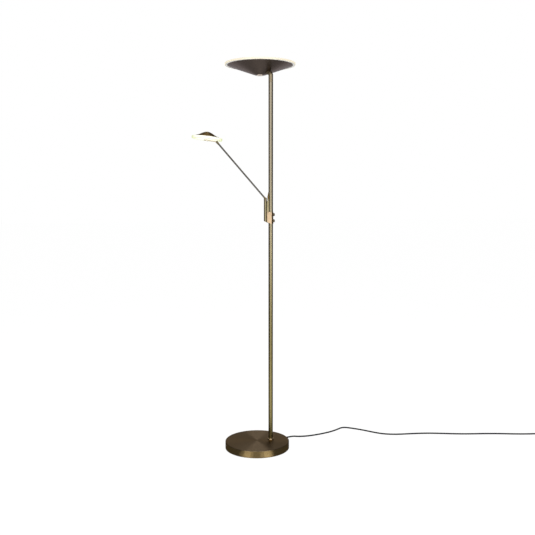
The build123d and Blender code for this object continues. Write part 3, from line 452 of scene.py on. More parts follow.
# The pole is painted darker and more olive towards its foot: painted shade, since the lower pole gets
# less light.
pole_finish = turned_brass(
    "pole_old_brass", (0.205, 0.177, 0.128), (0.225, 0.198, 0.148), (0.25, 0.29), pole_axis,
    spacing=0.0012, anisotropic=0.0, ring_depth=0.000001,
    foot_tones=((0.178, 0.146, 0.058), (0.198, 0.164, 0.070)), foot_span=(0.3, 1.6),
)
elbow_finish = cast_brass("elbow_old_brass", (0.225, 0.182, 0.118), (0.245, 0.202, 0.134), (0.42, 0.50))
arm_finish = drawn_brass(
    "arm_old_brass", (0.088, 0.083, 0.072), (0.122, 0.114, 0.099), (0.28, 0.38),
    (0, arm_elevation - pi / 2, 0), 0.0004,
)
# Below about 1.12 m and past 44 mm in X, the casting's block face is painted lighter and peach: a
# painted highlight. From 1.18 m up, its top is painted near black-brown: painted shade.
bracket_finish = cast_brass(
    "bracket_old_brass", (0.138, 0.118, 0.066), (0.170, 0.146, 0.086), (0.18, 0.26),
    foot_tones=((0.218, 0.160, 0.100), (0.262, 0.196, 0.128)),
    foot_span=(1.120, 1.132),
    foot_side=(0.0440, 0.0425),
    painted_shade_crown_tones=((0.080, 0.052, 0.014), (0.110, 0.073, 0.022)),
    painted_shade_crown_span=(1.180, 1.188),
)
fitting_finish = cast_brass(
    "fitting_old_brass", (0.095, 0.078, 0.048), (0.135, 0.110, 0.070), (0.26, 0.38)
)
# The head's strap is painted pale: a painted highlight of the cup's glow falling on it.
glow_painted_finish = cast_brass("glow_lit_brass", (0.38, 0.32, 0.20), (0.46, 0.40, 0.26), (0.30, 0.42))
bright_finish = turned_brass(
    "bright_brass", (0.50, 0.39, 0.24), (0.62, 0.50, 0.33), (0.16, 0.28), pole_axis, spacing=0.0006
)
cap_finish = moulded("ivory_cap", (0.60, 0.50, 0.42), (0.66, 0.56, 0.48), (0.26, 0.36), 0.0012)
knob_finish = cast_brass("knob_brass", (0.066, 0.046, 0.022), (0.105, 0.076, 0.038), (0.24, 0.36))
zinc_finish = plain_metal("zinc_plate", (0.42, 0.42, 0.40), (0.58, 0.58, 0.55), (0.30, 0.45))
nickel_finish = plain_metal("nickel_plate", (0.56, 0.54, 0.50), (0.68, 0.66, 0.62), (0.18, 0.28))
enamel_finish = moulded("white_enamel", (0.78, 0.77, 0.73), (0.84, 0.83, 0.80), (0.30, 0.42), 0.0015)
alloy_finish = plain_metal("pressed_aluminium", (0.62, 0.62, 0.61), (0.74, 0.74, 0.73), (0.35, 0.5))
iron_finish = moulded(
    "cast_iron", (0.020, 0.020, 0.020), (0.045, 0.043, 0.040), (0.55, 0.8), 0.002, 0.0002
)
felt_finish = moulded(
    "base_felt", (0.010, 0.010, 0.010), (0.030, 0.028, 0.026), (0.85, 0.98), 0.0006, 0.0002
)
cord_finish = moulded(
    "cord_pvc", (0.003, 0.003, 0.004), (0.006, 0.006, 0.007), (0.62, 0.74), 0.0009, 0.00002, 0.03
)
plastic_finish = moulded("black_plastic", (0.012, 0.012, 0.012), (0.022, 0.022, 0.021), (0.45, 0.58))
nylon_finish = moulded("white_nylon", (0.62, 0.62, 0.60), (0.72, 0.72, 0.70), (0.40, 0.55))
board_finish = moulded("board_lacquer", (0.70, 0.71, 0.69), (0.80, 0.81, 0.79), (0.30, 0.45), 0.002)
led_finish = moulded("led_phosphor", (0.80, 0.60, 0.15), (0.90, 0.74, 0.30), (0.25, 0.35))
uplight_glow = lit_opal(
    "uplight_opal", ((0.34, 0.31, 0.27), (0.38, 0.35, 0.31)), (0.66, 0.62, 0.46), (0.60, 0.54, 0.38),
    bowl_centre, (0, 0, 0), cup_radius,
)
head_glow = lit_opal(
    "head_opal", ((0.32, 0.32, 0.27), (0.36, 0.36, 0.31)), (0.80, 0.78, 0.68), (0.46, 0.52, 0.20),
    tuple(head_centre), head_turn, head_cup_radius, grazing=(0.25, 0.85),
)

# Mesh helpers
weld_distance = 1e-6
flat_angle = radians(0.5)
bevel_angle = radians(30)
sharp_angle = radians(32)

# Segments round the turned forms
wide_segments = 192
head_segments = 128
cap_segments = 96
small_segments = 64
thin_segments = 40
pin_segments = 32


def evaluated(piece):
    """The plain mesh that an object's modifiers give, after which the object is removed."""
    bpy.context.view_layer.update()
    depsgraph = bpy.context.evaluated_depsgraph_get()
    mesh = bpy.data.meshes.new_from_object(piece.evaluated_get(depsgraph))
    bpy.data.objects.remove(piece)
    return mesh


def modified(mesh, kind, **settings):
    """A mesh as one modifier leaves it."""
    blank = placed(mesh.name, mesh)
    modifier = blank.modifiers.new(kind.lower(), kind)
    for name, value in settings.items():
        setattr(modifier, name, value)
    return evaluated(blank)


def meshed(form, name):
    """A form as a mesh, after which the form is freed."""
    mesh = bpy.data.meshes.new(name)
    form.to_mesh(mesh)
    form.free()
    return mesh


def show(name, mesh, material, body, node):
    """A finished piece: smooth, on its body, with its finish, standing for its CAD node."""
    mesh.materials.clear()
    mesh.materials.append(material)
    mesh.shade_smooth()
    mesh.set_sharp_from_angle(angle=sharp_angle)
    piece = placed(name, modified(mesh, "WEIGHTED_NORMAL", mode="FACE_AREA", keep_sharp=True))
    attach(piece, body)
    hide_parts(node)
    return piece


def eased(points, radii, steps=5):
    """A profile with some of its corners rounded, one radius a point."""
    out = []
    for here, radius in enumerate(radii):
        corner = Vector(points[here])
        if radius <= 0:
            out.append(tuple(corner))
            continue
        before = (Vector(points[here - 1]) - corner).normalized()
        after = (Vector(points[(here + 1) % len(points)]) - corner).normalized()
        half = before.angle(after) / 2
        reach = radius / tan(half)
        middle = corner + (before + after).normalized() * (radius / sin(half))
        first = corner + before * reach - middle
        last = corner + after * reach - middle
        for step in range(steps + 1):
            spoke = first.lerp(last, step / steps).normalized() * radius
            out.append(tuple(middle + spoke))
    return out


def band(inner, outer, low, high):
    """The four corners of a ring's section, or of half a disc's where the inner radius is 0."""
    return [(inner, low), (outer, low), (outer, high), (inner, high)]


def cup_section(radius, floor, brim):
    """The section of an opal cup from its floor to its brim, which may lie above or below it."""
    inside = floor + cup_wall if brim > floor else floor - cup_wall
    bore = radius - cup_wall
    outer = [(0.0, floor), (radius, floor), (radius, brim)]
    inner = [(bore, brim), (bore, inside), (0.0, inside)]
    return eased(outer + inner, [0, 0.0015, 0.001, 0.0005, 0.001, 0])


def axis_place(origin, way):
    """A matrix that puts local Z along a direction."""
    turn = Vector(way).to_track_quat("Z", "Y").to_matrix().to_4x4()
    return Matrix.Translation(origin) @ turn


def raised(place, distance):
    """A place moved along its own Z."""
    return place @ Matrix.Translation((0, 0, distance))


def ring(form, centre, across, along, radius, segments):
    """Vertices round a centre, in the plane of two directions."""
    turns = [2 * pi * step / segments for step in range(segments)]
    return [
        form.verts.new(centre + across * (radius * cos(turn)) + along * (radius * sin(turn)))
        for turn in turns
    ]


def skin(form, pairs, segments, caps=()):
    """Faces between pairs of rings, of which one may be a vertex on the axis, and over end caps."""
    for low, high in pairs:
        for step in range(segments):
            after = (step + 1) % segments
            first = [low[step % len(low)], low[after % len(low)]]
            second = [high[after % len(high)], high[step % len(high)]]
            corners = list(dict.fromkeys(first + second))
            if len(corners) > 2:
                form.faces.new(corners)
    for cap in caps:
        form.faces.new(cap)
    bmesh.ops.recalc_face_normals(form, faces=form.faces)


def lathe(name, profile, place, segments):
    """A mesh turned round local Z from a closed profile of radius and height, then put in place."""
    form = bmesh.new()
    rings = []
    for radius, height in profile:
        centre = up * height
        if radius < weld_distance:
            rings.append([form.verts.new(centre)])
        else:
            rings.append(ring(form, centre, side_way, back_way, radius, segments))
    skin(form, zip(rings, rings[1:] + rings[:1]), segments)
    form.transform(place)
    return meshed(form, name)


def softened(node, width, segments=2):
    """A copy of a CAD node's mesh with its flat faces joined and its edges bevelled."""
    form = bmesh.new()
    form.from_mesh(nodes[node].data)
    bmesh.ops.remove_doubles(form, verts=form.verts, dist=weld_distance)
    bmesh.ops.dissolve_limit(form, angle_limit=flat_angle, verts=form.verts, edges=form.edges)
    return modified(
        meshed(form, node + "_soft"), "BEVEL",
        width=width, segments=segments, limit_method="ANGLE", angle_limit=bevel_angle,
    )


def joined(name, meshes):
    """One mesh out of several."""
    form = bmesh.new()
    for mesh in meshes:
        form.from_mesh(mesh)
    return meshed(form, name)


def block(name, size, place):
    """A box of a size, put in place."""
    form = bmesh.new()
    bmesh.ops.create_cube(form, size=1.0)
    form.transform(place @ Matrix.Diagonal((*size, 1)))
    return meshed(form, name)


def cut(mesh, tool):
    """A mesh with a tool's form taken out of it."""
    knife = placed(tool.name, tool)
    out = modified(mesh, "BOOLEAN", operation="DIFFERENCE", solver="EXACT", object=knife)
    bpy.data.objects.remove(knife)
    return out


def pin_piece(name, material, body, node, origin, way, head, shank, slot_turn):
    """A screw: a domed head with a slot behind the origin, and a shank along the way."""
    head_radius, head_height = head
    shank_radius, shank_length = shank
    dome_edge = -0.82 * head_height
    slot_size = (3 * head_radius, 0.24 * head_radius, 0.9 * head_height)
    place = axis_place(origin, way)
    profile = eased(
        [
            (0.0, -head_height),
            (head_radius, dome_edge),
            (head_radius, 0.0),
            (shank_radius, 0.0),
            (shank_radius, shank_length),
            (0.0, shank_length),
        ],
        [0, head_height * 0.3, head_height * 0.1, 0, shank_radius * 0.2, 0],
    )
    slot_place = raised(place, -head_height) @ Matrix.Rotation(slot_turn, 4, "Z")
    pin = lathe(name, profile, place, small_segments)
    slotted = cut(pin, block(name + "_slot", slot_size, slot_place))
    return show(name, slotted, material, body, node)


def turned_piece(name, profile, place, segments, material, body, node):
    """A piece turned from a profile."""
    return show(name, lathe(name, profile, place, segments), material, body, node)


def soft_piece(name, node, width, material, body, segments=2):
    """A piece in the CAD node's own form, with softened edges."""
    return show(name, softened(node, width, segments), material, body, node)


def new_maker(name, inputs):
    """An empty Geometry Nodes tree for a form that repeats."""
    return new_tree(name, "GeometryNodeTree", inputs, ("Geometry",), "NodeSocketGeometry")


def finish_maker(tree, start, end, points, instance, **placing):
    """The end of a maker: an instance on every point, made real and painted."""
    sources = {"Points": points, "Instance": instance, **placing}
    spread = add_node(tree, "GeometryNodeInstanceOnPoints", sources)
    real = add_node(tree, "GeometryNodeRealizeInstances", {0: spread.outputs[0]})
    sources = {"Geometry": real.outputs[0], "Material": start["Finish"]}
    link(tree, add_node(tree, "GeometryNodeSetMaterial", sources).outputs[0], end["Geometry"])


def make_knurl_tree():
    """Ridges round a knob or thumb nut: prisms set on a circle."""
    sizes = {"Count": 36, "Ring Radius": 0.0066, "Ridge Size": 0.0006, "Length": 0.004}
    tree, start, end = new_maker("knurl_ring", {**sizes, "Finish": knob_finish})
    sources = {"Vertices": start["Count"], "Radius": start["Ring Radius"]}
    circle = add_node(tree, "GeometryNodeMeshCircle", sources)
    sources = {"Vertices": 6, "Radius": start["Ridge Size"], "Depth": start["Length"]}
    ridge = add_node(tree, "GeometryNodeMeshCylinder", sources)
    place = add_node(tree, "GeometryNodeInputPosition").outputs[0]
    turn = add_node(tree, "FunctionNodeAlignEulerToVector", {"Vector": place}, axis="X").outputs[0]
    finish_maker(tree, start, end, circle.outputs["Mesh"], ridge.outputs["Mesh"], Rotation=turn)
    return tree


def make_rib_tree():
    """A row of ribs on a tapered sleeve: rings set along a line, each a little smaller than the last."""
    sizes = {"Count": 5, "Pitch": 0.003, "Ring Radius": 0.006, "Taper": 0.04, "Rib Size": 0.0006}
    tree, start, end = new_maker("rib_row", {**sizes, "Finish": plastic_finish})
    circles = []
    for resolution, radius in ((48, "Ring Radius"), (10, "Rib Size")):
        sources = {"Resolution": resolution, "Radius": start[radius]}
        circles.append(add_node(tree, "GeometryNodeCurvePrimitiveCircle", sources).outputs["Curve"])
    rib = add_node(tree, "GeometryNodeCurveToMesh", {"Curve": circles[0], "Profile Curve": circles[1]})
    step = add_node(tree, "ShaderNodeCombineXYZ", {"Z": start["Pitch"]}).outputs[0]
    row = add_node(tree, "GeometryNodeMeshLine", {"Count": start["Count"], "Offset": step})
    index = add_node(tree, "GeometryNodeInputIndex").outputs[0]
    size = math_node(tree, "SUBTRACT", 1.0, math_node(tree, "MULTIPLY", index, start["Taper"]))
    finish_maker(tree, start, end, row.outputs["Mesh"], rib.outputs["Mesh"], Scale=size)
    return tree


knurl_tree = make_knurl_tree()
rib_tree = make_rib_tree()


def grown(name, tree, place, **values):
    """What a maker gives for the values of its inputs, as a plain mesh put in place."""
    blank = placed(name, bpy.data.meshes.new(name))
    maker = blank.modifiers.new("maker", "NODES")
    maker.node_group = tree
    for item in tree.interface.items_tree:
        if item.in_out == "INPUT":
            maker[item.identifier] = values[item.name.lower().replace(" ", "_")]
    mesh = evaluated(blank)
    mesh.transform(place)
    return mesh


# Base
dimple_depth = 0.0003
dimple_floor = 0.0012
dimple_rim = 0.0020
cover_profile = eased(
    [
        (0.0, base_height - dimple_depth),
        (dimple_floor, base_height - dimple_depth),
        (dimple_rim, base_height),
        (base_radius, base_height),
        (base_radius, skirt_lift),
        (base_radius - base_wall, skirt_lift),
        (base_radius - base_wall, base_height - base_wall),
        (0.0, base_height - base_wall),
    ],
    [0, 0.0004, 0.0006, base_edge, 0.0006, 0.0005, 0.001, 0],
)
turned_piece(
    "base_shell", cover_profile, Matrix(), wide_segments, base_finish, "stand", "base_cover"
)

collar_gap = 0.00005
collar_bore = pole_radius + collar_gap
collar_profile = eased(band(collar_bore, collar_radius, 0.0, collar_height), [0, 0.0003, 0.0012, 0.0004])
collar_place = Matrix.Translation((pole_offset, 0, base_height))
turned_piece(
    "foot_ring", collar_profile, collar_place, cap_segments,
    bright_finish, "stand", "foot_collar",
)
soft_piece("base_foot", "base_pad", 0.0005, felt_finish, "stand")

first_rib = 0.003
gland_place = axis_place(gland_way * gland_collar + up * cord_height, gland_way)
gland_ribs = grown(
    "gland_ribs", rib_tree, raised(gland_place, first_rib),
    count=6, pitch=0.0031, ring_radius=0.0058, taper=0.038, rib_size=0.0006, finish=plastic_finish,
)
gland_mesh = joined("gland_sleeve", [softened("cord_gland", 0.0004), gland_ribs])
show("gland_sleeve", gland_mesh, plastic_finish, "stand", "cord_gland")

# Pole
pole_spans = {
    "pole_lower": (base_height, lower_seam),
    "pole_middle": (lower_seam, upper_seam),
    "pole_upper": (upper_seam, pole_top),
}
for name, span in pole_spans.items():
    tube_profile = eased(band(pole_bore, pole_radius, *span), [0, pole_chamfer, pole_chamfer, 0], 3)
    tube = lathe(name, tube_profile, Matrix.Translation(pole_axis), small_segments)
    show(name + "_tube", tube, pole_finish, "stand", name)

# Bracket, its knobs and set screws
soft_piece("bracket_casting", "bracket_body", 0.0005, bracket_finish, "stand")
knob_bodies = {"knob_uplight": "knob_top", "knob_reading": "knob_low"}
ridge_size = 0.0005
ridge_middle = knob_length * 0.46
ridge_length = knob_length * 0.74
core_radius = knob_radius - ridge_size
shaft_bore = 0.00305
knob_dish = 0.0004
knob_front = 0.0013
core_profile = eased(
    [
        (shaft_bore, 0.0),
        (core_radius, 0.0),
        (core_radius, knob_length),
        (0.0, knob_length - knob_dish),
        (0.0, knob_length - knob_front),
        (shaft_bore, knob_length - knob_front),
    ],
    [0, 0.0004, 0.0008, 0, 0, 0],
)
for knob, height in knob_heights.items():
    place = axis_place((knob_base, 0, height), side_way)
    core = lathe(knob + "_core", core_profile, place, small_segments)
    ridges = grown(
        knob + "_ridges", knurl_tree, raised(place, ridge_middle),
        count=32, ring_radius=core_radius, ridge_size=ridge_size, length=ridge_length,
        finish=knob_finish,
    )
    grip = joined(knob, [core, ridges])
    show(knob + "_grip", grip, knob_finish, knob_bodies[knob], knob)

socket_radius = 0.0012
socket_depth = 0.001
socket_start = 0.0005
socket_profile = band(0.0, socket_radius, 0.0, socket_start + socket_depth)
screw_mesh = softened("bracket_screws", 0.0002)
for height in screw_heights:
    socket_place = axis_place((pole_offset, screw_face + socket_start, height), -back_way)
    screw_mesh = cut(screw_mesh, lathe("socket", socket_profile, socket_place, 6))
show("grub_screws", screw_mesh, zinc_finish, "stand", "bracket_screws")

# Arm swivel, hinge and arm
nut_radius = 0.0042
nut_bore = 0.00205
nut_height = 0.003
tip_nut_height = 0.0016
for name, node, body in (
    ("swivel_yoke", "swivel_fork", "swivel"),
    ("arm_eye", "arm_root", "arm"),
    ("arm_fork", "arm_tip", "arm"),
):
    soft_piece(name, node, 0.0003, fitting_finish, body)
pin_piece(
    "hinge_screw", fitting_finish, "swivel", "arm_pin",
    origin=arm_pivot - back_way * cheek_face, way=back_way, slot_turn=radians(35),
    head=(0.0042, 0.0020), shank=(0.0020, 2 * cheek_face + nut_height),
)
nut_place = axis_place(arm_pivot + back_way * cheek_face, back_way)
nut_profile = eased(band(nut_bore, nut_radius, 0.0, nut_height), [0, 0.0003, 0.0005, 0.0002])
nut_core = lathe("nut_core", nut_profile, nut_place, small_segments)
nut_ridges = grown(
    "nut_ridges", knurl_tree, raised(nut_place, nut_height / 2),
    count=28, ring_radius=0.00415, ridge_size=0.00036, length=0.0024, finish=fitting_finish,
)
nut_mesh = joined("hinge_thumb_nut", [nut_core, nut_ridges])
show("hinge_thumb_nut", nut_mesh, fitting_finish, "swivel", "arm_nut")
pin_piece(
    "tip_screw", fitting_finish, "arm", "tip_pin",
    origin=head_pivot - back_way * tip_face, way=back_way, slot_turn=radians(-20),
    head=(0.0032, 0.0016), shank=(0.0016, 2 * tip_face + tip_nut_height),
)
soft_piece("tip_hex_nut", "tip_nut", 0.0002, fitting_finish, "arm")
rod_profile = eased(band(arm_bore, arm_radius, tube_start, tube_end), [0, 0.0003, 0.0003, 0], 3)
rod_place = axis_place(arm_pivot, arm_way)
turned_piece(
    "arm_rod", rod_profile, rod_place, thin_segments, arm_finish, "arm", "arm_tube"
)

# Reading head
head_place = Matrix.Translation(head_centre) @ Matrix.Rotation(head_tilt, 4, "Y")
shade_steps = 30
shade_inner_share = 0.985
brim_roll = 0.0002
brim_drop = 0.0008
brim_tuck = 0.0003
cup_gap = 0.0001


def bell(radius):
    """The shade's height over the cup's middle: a dome, then a hollow flare out to the brim."""
    if radius < shade_knee:
        start, stop = 0.0, shade_knee
        low, high = shade_top, shade_knee_height
        leaving, arriving = 0.0, shade_knee_slope
    else:
        start, stop = shade_knee, shade_radius
        low, high = shade_knee_height, shade_brim_height
        leaving, arriving = shade_knee_slope, shade_brim_slope
    run = stop - start
    share = (radius - start) / run
    rest = 1 - share
    return (
        low * rest * rest * (1 + 2 * share)
        + high * share * share * (3 - 2 * share)
        + leaving * run * share * rest * rest
        - arriving * run * share * share * rest
    )


shade_radii = [shade_radius * step / shade_steps for step in range(shade_steps + 1)]
shade_outer = [(radius, bell(radius)) for radius in shade_radii]
shade_inner = [
    (radius * shade_inner_share, height - shade_wall) for radius, height in reversed(shade_outer)
]
shade_brim = [
    (shade_radius + brim_roll, shade_brim_height - brim_drop),
    (shade_radius - brim_tuck, head_cup_half + cup_gap),
]
shade_profile = shade_outer + shade_brim + shade_inner
turned_piece(
    "head_bell", shade_profile, head_place, head_segments,
    shade_finish, "head", "head_shade",
)
head_cup = cup_section(head_cup_radius, -head_cup_half, head_cup_half)
turned_piece(
    "head_opal_cup", head_cup, head_place, head_segments,
    head_glow, "head", "head_diffuser",
)
pin_piece(
    "head_cap_screw", enamel_finish, "head", "head_screw",
    origin=head_centre - head_up * head_strap_drop, way=head_up, slot_turn=radians(60),
    head=(0.006, 0.003), shank=(0.0025, 0.023),
)
soft_piece("head_strap", "head_blade", 0.0004, glow_painted_finish, "head")

# Uplighter
bowl_place = Matrix.Translation(bowl_middle)
rim_width = 0.0036
rim_lip = 0.0004
inner_floor_radius = bowl_floor_radius - 0.0002
bowl_profile = eased(
    [
        (0.0, bowl_bottom),
        (bowl_floor_radius, bowl_bottom),
        (bowl_radius, rim_height - rim_lip),
        (bowl_radius, rim_height),
        (bowl_radius - rim_width, rim_height),
        (inner_floor_radius, bowl_bottom + bowl_wall),
        (0.0, bowl_bottom + bowl_wall),
    ],
    [0, 0.006, 0, 0, 0, 0.005, 0],
)
turned_piece(
    "uplight_shell", bowl_profile, bowl_place, wide_segments,
    bowl_painted_shade_finish, "uplight", "uplight_bowl",
)
cap_profile = eased(band(0.0, cap_radius, bowl_bottom - cap_height, bowl_bottom), [0, 0.0016, 0.0003, 0])
turned_piece(
    "bowl_button", cap_profile, bowl_place, cap_segments,
    cap_finish, "uplight", "bowl_cap",
)
uplight_cup = cup_section(cup_radius, lamp_height, rim_height)
turned_piece(
    "uplight_opal_cup", uplight_cup, bowl_place, wide_segments,
    uplight_glow, "uplight", "uplight_diffuser",
)


def elbow(bend_steps=14, segments=small_segments, entry=0.006):
    """The neck's tube: up from the pole, round its bend and on into the bowl's flank."""
    aside = Vector((cos(uplight_turn), sin(uplight_turn), 0))
    start = Vector((pole_offset, 0, neck_start))
    stations = [(Vector((pole_offset, 0, pole_top)), up), (start, up)]
    for step in range(1, bend_steps + 1):
        angle = neck_bend_angle * step / bend_steps
        run = neck_bend_radius * (1 - cos(angle))
        climb = neck_bend_radius * sin(angle)
        stations.append((start + up * climb + aside * run, up * cos(angle) + aside * sin(angle)))
    last, way = stations[-1]
    stations.append((last + way * (neck_reach + entry), way))
    side = up.cross(aside)
    form = bmesh.new()
    rings = [ring(form, place, side, side.cross(way), pole_radius, segments) for place, way in stations]
    skin(form, zip(rings, rings[1:]), segments, caps=(rings[0], rings[-1]))
    return meshed(form, "uplight_elbow")


show("uplight_elbow", elbow(), elbow_finish, "uplight", "uplight_neck")

# Mains cord: its route over the floor, then the put-away coil and the tail to the plug
lying_height = cord_diameter / 2
straight_run = 0.043
coil_lift = 0.001
cord_exit = gland_way * gland_tip + up * cord_height
cord_turn = gland_way * (gland_tip + straight_run) + up * cord_height
floor_route = (
    (0.240, 0.082), (0.290, 0.077), (0.352, 0.087), (0.415, 0.105), (0.461, 0.129),
    (0.505, 0.159), (0.548, 0.125), (0.592, 0.079), (0.634, 0.024), (0.672, -0.008),
    (0.728, -0.028), (0.795, -0.037), (0.868, -0.050), (0.938, -0.074), (1.006, -0.102),
    (1.076, -0.124), (1.146, -0.140), (1.216, -0.160), (1.285, -0.186), (1.354, -0.208),
)
coil_start = ((1.432, -0.226), (1.474, -0.232))
cord_points = [tuple(cord_exit), tuple(cord_turn)]
cord_points += [(x, y, lying_height) for x, y in floor_route]
cord_points += [(x, y, lying_height + coil_lift) for x, y in coil_start]

coil_radius = 0.044
coil_pitch = 0.0076
coil_rise = 0.0075
coil_turns = 3
coil_steps = 18
coil_tail = 0.020
plug_drop_run = 0.030
plug_half = 0.00685
coil_way = (Vector(cord_points[-1]) - Vector(cord_points[-2])).normalized()
coil_mouth = Vector(cord_points[-1]) + Vector((coil_way.x, coil_way.y, 0)) * cord_diameter
coil_side = Vector((-coil_way.y, coil_way.x, 0))
coil_centre = coil_mouth + coil_side * coil_radius


def coil_point(turn):
    """A place in the coil after a number of turns: in on the floor, up a layer, and out on top."""
    half = coil_turns / 2
    radius = coil_radius - coil_pitch * min(turn, coil_turns - turn)
    climb = min(max((turn - half + 0.25) / 0.5, 0.0), 1.0)
    height = coil_rise * climb * climb * (3 - 2 * climb)
    angle = 2 * pi * turn
    spread = radius / cos(pi / coil_steps) ** 0.5
    flat = coil_way * (sin(angle) * spread) - coil_side * (cos(angle) * spread)
    place = coil_centre + flat
    return (place.x, place.y, coil_mouth.z + height)


cord_points += [coil_point(step / coil_steps) for step in range(coil_turns * coil_steps + 1)]
tail_start = Vector(cord_points[-1])
tail_way = Vector((coil_way.x, coil_way.y, 0)).normalized()
plug_back = tail_start + tail_way * (coil_tail + plug_drop_run)
plug_back.z = plug_half
for point in (
    tail_start + tail_way * coil_tail * 0.5,
    tail_start + tail_way * (coil_tail + plug_drop_run * 0.25),
    plug_back - tail_way * plug_drop_run * 0.25,
    plug_back,
):
    cord_points.append(tuple(point))

cord_curve = bpy.data.curves.new("mains_cord", "CURVE")
cord_curve.dimensions = "3D"
cord_curve.bevel_depth = cord_diameter / 2
cord_curve.bevel_resolution = 5
cord_curve.resolution_u = 10
cord_curve.use_fill_caps = True
route = cord_curve.splines.new("NURBS")
route.points.add(len(cord_points) - 1)
for point, place in zip(route.points, cord_points):
    point.co = (*place, 1.0)
route.order_u = 3
route.use_endpoint_u = True
cord_curve.materials.append(cord_finish)
mains_cord = placed("mains_cord", cord_curve)
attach(mains_cord, "stand")
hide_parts("cord_lead", "cord_coil")

sleeve_bore = 0.0019
sleeve_radius = 0.00215
sleeve_root = -0.001
sleeve_end = 0.009
relief_radius = 0.0050
relief_tip = 0.0043
relief_root = 0.001
relief_end = -0.008
plug_meshes = [softened("plug_body", 0.0012, 3)]
sleeve_profile = eased(band(sleeve_bore, sleeve_radius, sleeve_root, sleeve_end), [0, 0, 0.0002, 0])
for side in (-1, 1):
    root = plug_back + tail_way * plug_length + coil_side * (side * pin_spacing / 2)
    plug_meshes.append(lathe("pin_sleeve", sleeve_profile, axis_place(root, tail_way), pin_segments))
relief_profile = eased(
    [(0.0, relief_root), (relief_radius, relief_root), (relief_tip, relief_end), (0.0, relief_end)],
    [0, 0, 0.0004, 0],
)
plug_meshes.append(lathe("plug_relief", relief_profile, axis_place(plug_back, tail_way), thin_segments))
plug_ribs = grown(
    "plug_ribs", rib_tree, axis_place(plug_back, -tail_way),
    count=3, pitch=0.0022, ring_radius=0.0047, taper=0.03, rib_size=0.0005, finish=plastic_finish,
)
plug_mesh = joined("plug_shell", plug_meshes + [plug_ribs])
plug_piece = show("plug_shell", plug_mesh, plastic_finish, "stand", "plug_body")
pins_piece = soft_piece("plug_contacts", "plug_pins", 0.0012, nickel_finish, "stand", 4)
tie_piece = soft_piece("cord_tie", "coil_tie", 0.0004, plastic_finish, "stand")

# Finishes of the CAD nodes that stay as they are
fasteners = (
    "base_bush", "pole_nipple", "nipple_nut", "pole_plug", "pole_couplers", "shaft_uplight",
    "shaft_reading", "swivel_nut", "head_spacer", "neck_nut", "bowl_bolt",
)
for finish, kept_nodes in (
    (iron_finish, ("base_weight",)),
    (zinc_finish, fasteners),
    (cord_finish, ("mains_lead", "uplight_lead", "neck_lead", "arm_wiring")),
    (board_finish, ("dimmer_board", "head_led_board", "uplight_led_board")),
    (plastic_finish, ("dimmer_pots",)),
    (nylon_finish, ("swivel_washer", "arm_washers", "uplight_driver")),
    (enamel_finish, ("head_plate", "uplight_plate")),
    (led_finish, ("head_leds", "uplight_leds")),
    (alloy_finish, ("neck_saddle",)),
):
    for node in kept_nodes:
        data = nodes[node].data
        data.materials.clear()
        data.materials.append(finish)

# Studio: a white surround and floor, soft boxes, and cards that only the metal's reflections see
view_way = Vector((camera_way.x, camera_way.y, 0)).normalized()
view_right = Vector((view_way.y, -view_way.x, 0))
lamp_middle = up * 1.2
sky_light = 0.4
floor_grey = 0.9
floor_light = 1.1
floor_share = 0.86
floor_size = 60
floor_level = -0.0005


def seen_share(tree):
    """1 for rays that show a surface to the camera, also by a reflection, and 0 for the rest."""
    path = add_node(tree, "ShaderNodeLightPath").outputs
    outer = math_node(tree, "MAXIMUM", path["Is Camera Ray"], path["Is Glossy Ray"])
    return math_node(tree, "MAXIMUM", outer, path["Is Transmission Ray"])


def grey_shader(tree, kind, grey, **values):
    """A shader of one grey."""
    return add_node(tree, kind, {"Color": (grey, grey, grey, 1), **values}).outputs[0]


def ended(tree, kind, surface):
    """Ends a tree with an output that shows a shader."""
    add_node(tree, kind, {"Surface": surface})


def mixed_shaders(tree, share, first, second):
    """A shader between two."""
    return add_node(tree, "ShaderNodeMixShader", {0: share, 1: first, 2: second}).outputs[0]


def empty_tree(owner):
    """The cleared node tree of a material or a world."""
    owner.use_nodes = True
    owner.node_tree.nodes.clear()
    return owner.node_tree


world = bpy.data.worlds.new("studio")
bpy.context.scene.world = world
sky = empty_tree(world)
sky_lighting = grey_shader(sky, "ShaderNodeBackground", 1.0, Strength=sky_light)
sky_seen = grey_shader(sky, "ShaderNodeBackground", 1.0, Strength=1.0)
ended(sky, "ShaderNodeOutputWorld", mixed_shaders(sky, seen_share(sky), sky_lighting, sky_seen))

floor_material = bpy.data.materials.new("studio_floor")
floor_tree = empty_tree(floor_material)
floor_paint = grey_shader(floor_tree, "ShaderNodeBsdfDiffuse", floor_grey)
floor_white = grey_shader(floor_tree, "ShaderNodeEmission", 1.0, Strength=floor_light)
white_share = math_node(floor_tree, "MULTIPLY", seen_share(floor_tree), floor_share)
floor_surface = mixed_shaders(floor_tree, white_share, floor_paint, floor_white)
ended(floor_tree, "ShaderNodeOutputMaterial", floor_surface)


def flat_card(name, centre, across, along, material):
    """A flat stage piece with its two half widths as directions."""
    corners = [centre + across * x + along * y for x, y in ((-1, -1), (1, -1), (1, 1), (-1, 1))]
    mesh = bpy.data.meshes.new(name)
    mesh.from_pydata(corners, [], [(0, 1, 2, 3)])
    mesh.materials.append(material)
    card = placed(name, mesh)
    return card


def facing_card(name, centre, facing, width, height, material):
    """A flat stage piece that faces a direction."""
    turn = axis_place(centre, facing).to_3x3()
    return flat_card(name, centre, turn.col[0] * (width / 2), turn.col[1] * (height / 2), material)


def card_paint(name, grey):
    """An even grey, or a light, that a card shows to the metal."""
    material = bpy.data.materials.new(name + "_paint")
    tree = empty_tree(material)
    ended(tree, "ShaderNodeOutputMaterial", grey_shader(tree, "ShaderNodeEmission", grey))
    return material


def only_for_metal(card):
    """Hides a card from all but the metal's reflections."""
    card.visible_camera = False
    card.visible_diffuse = False
    card.visible_shadow = False


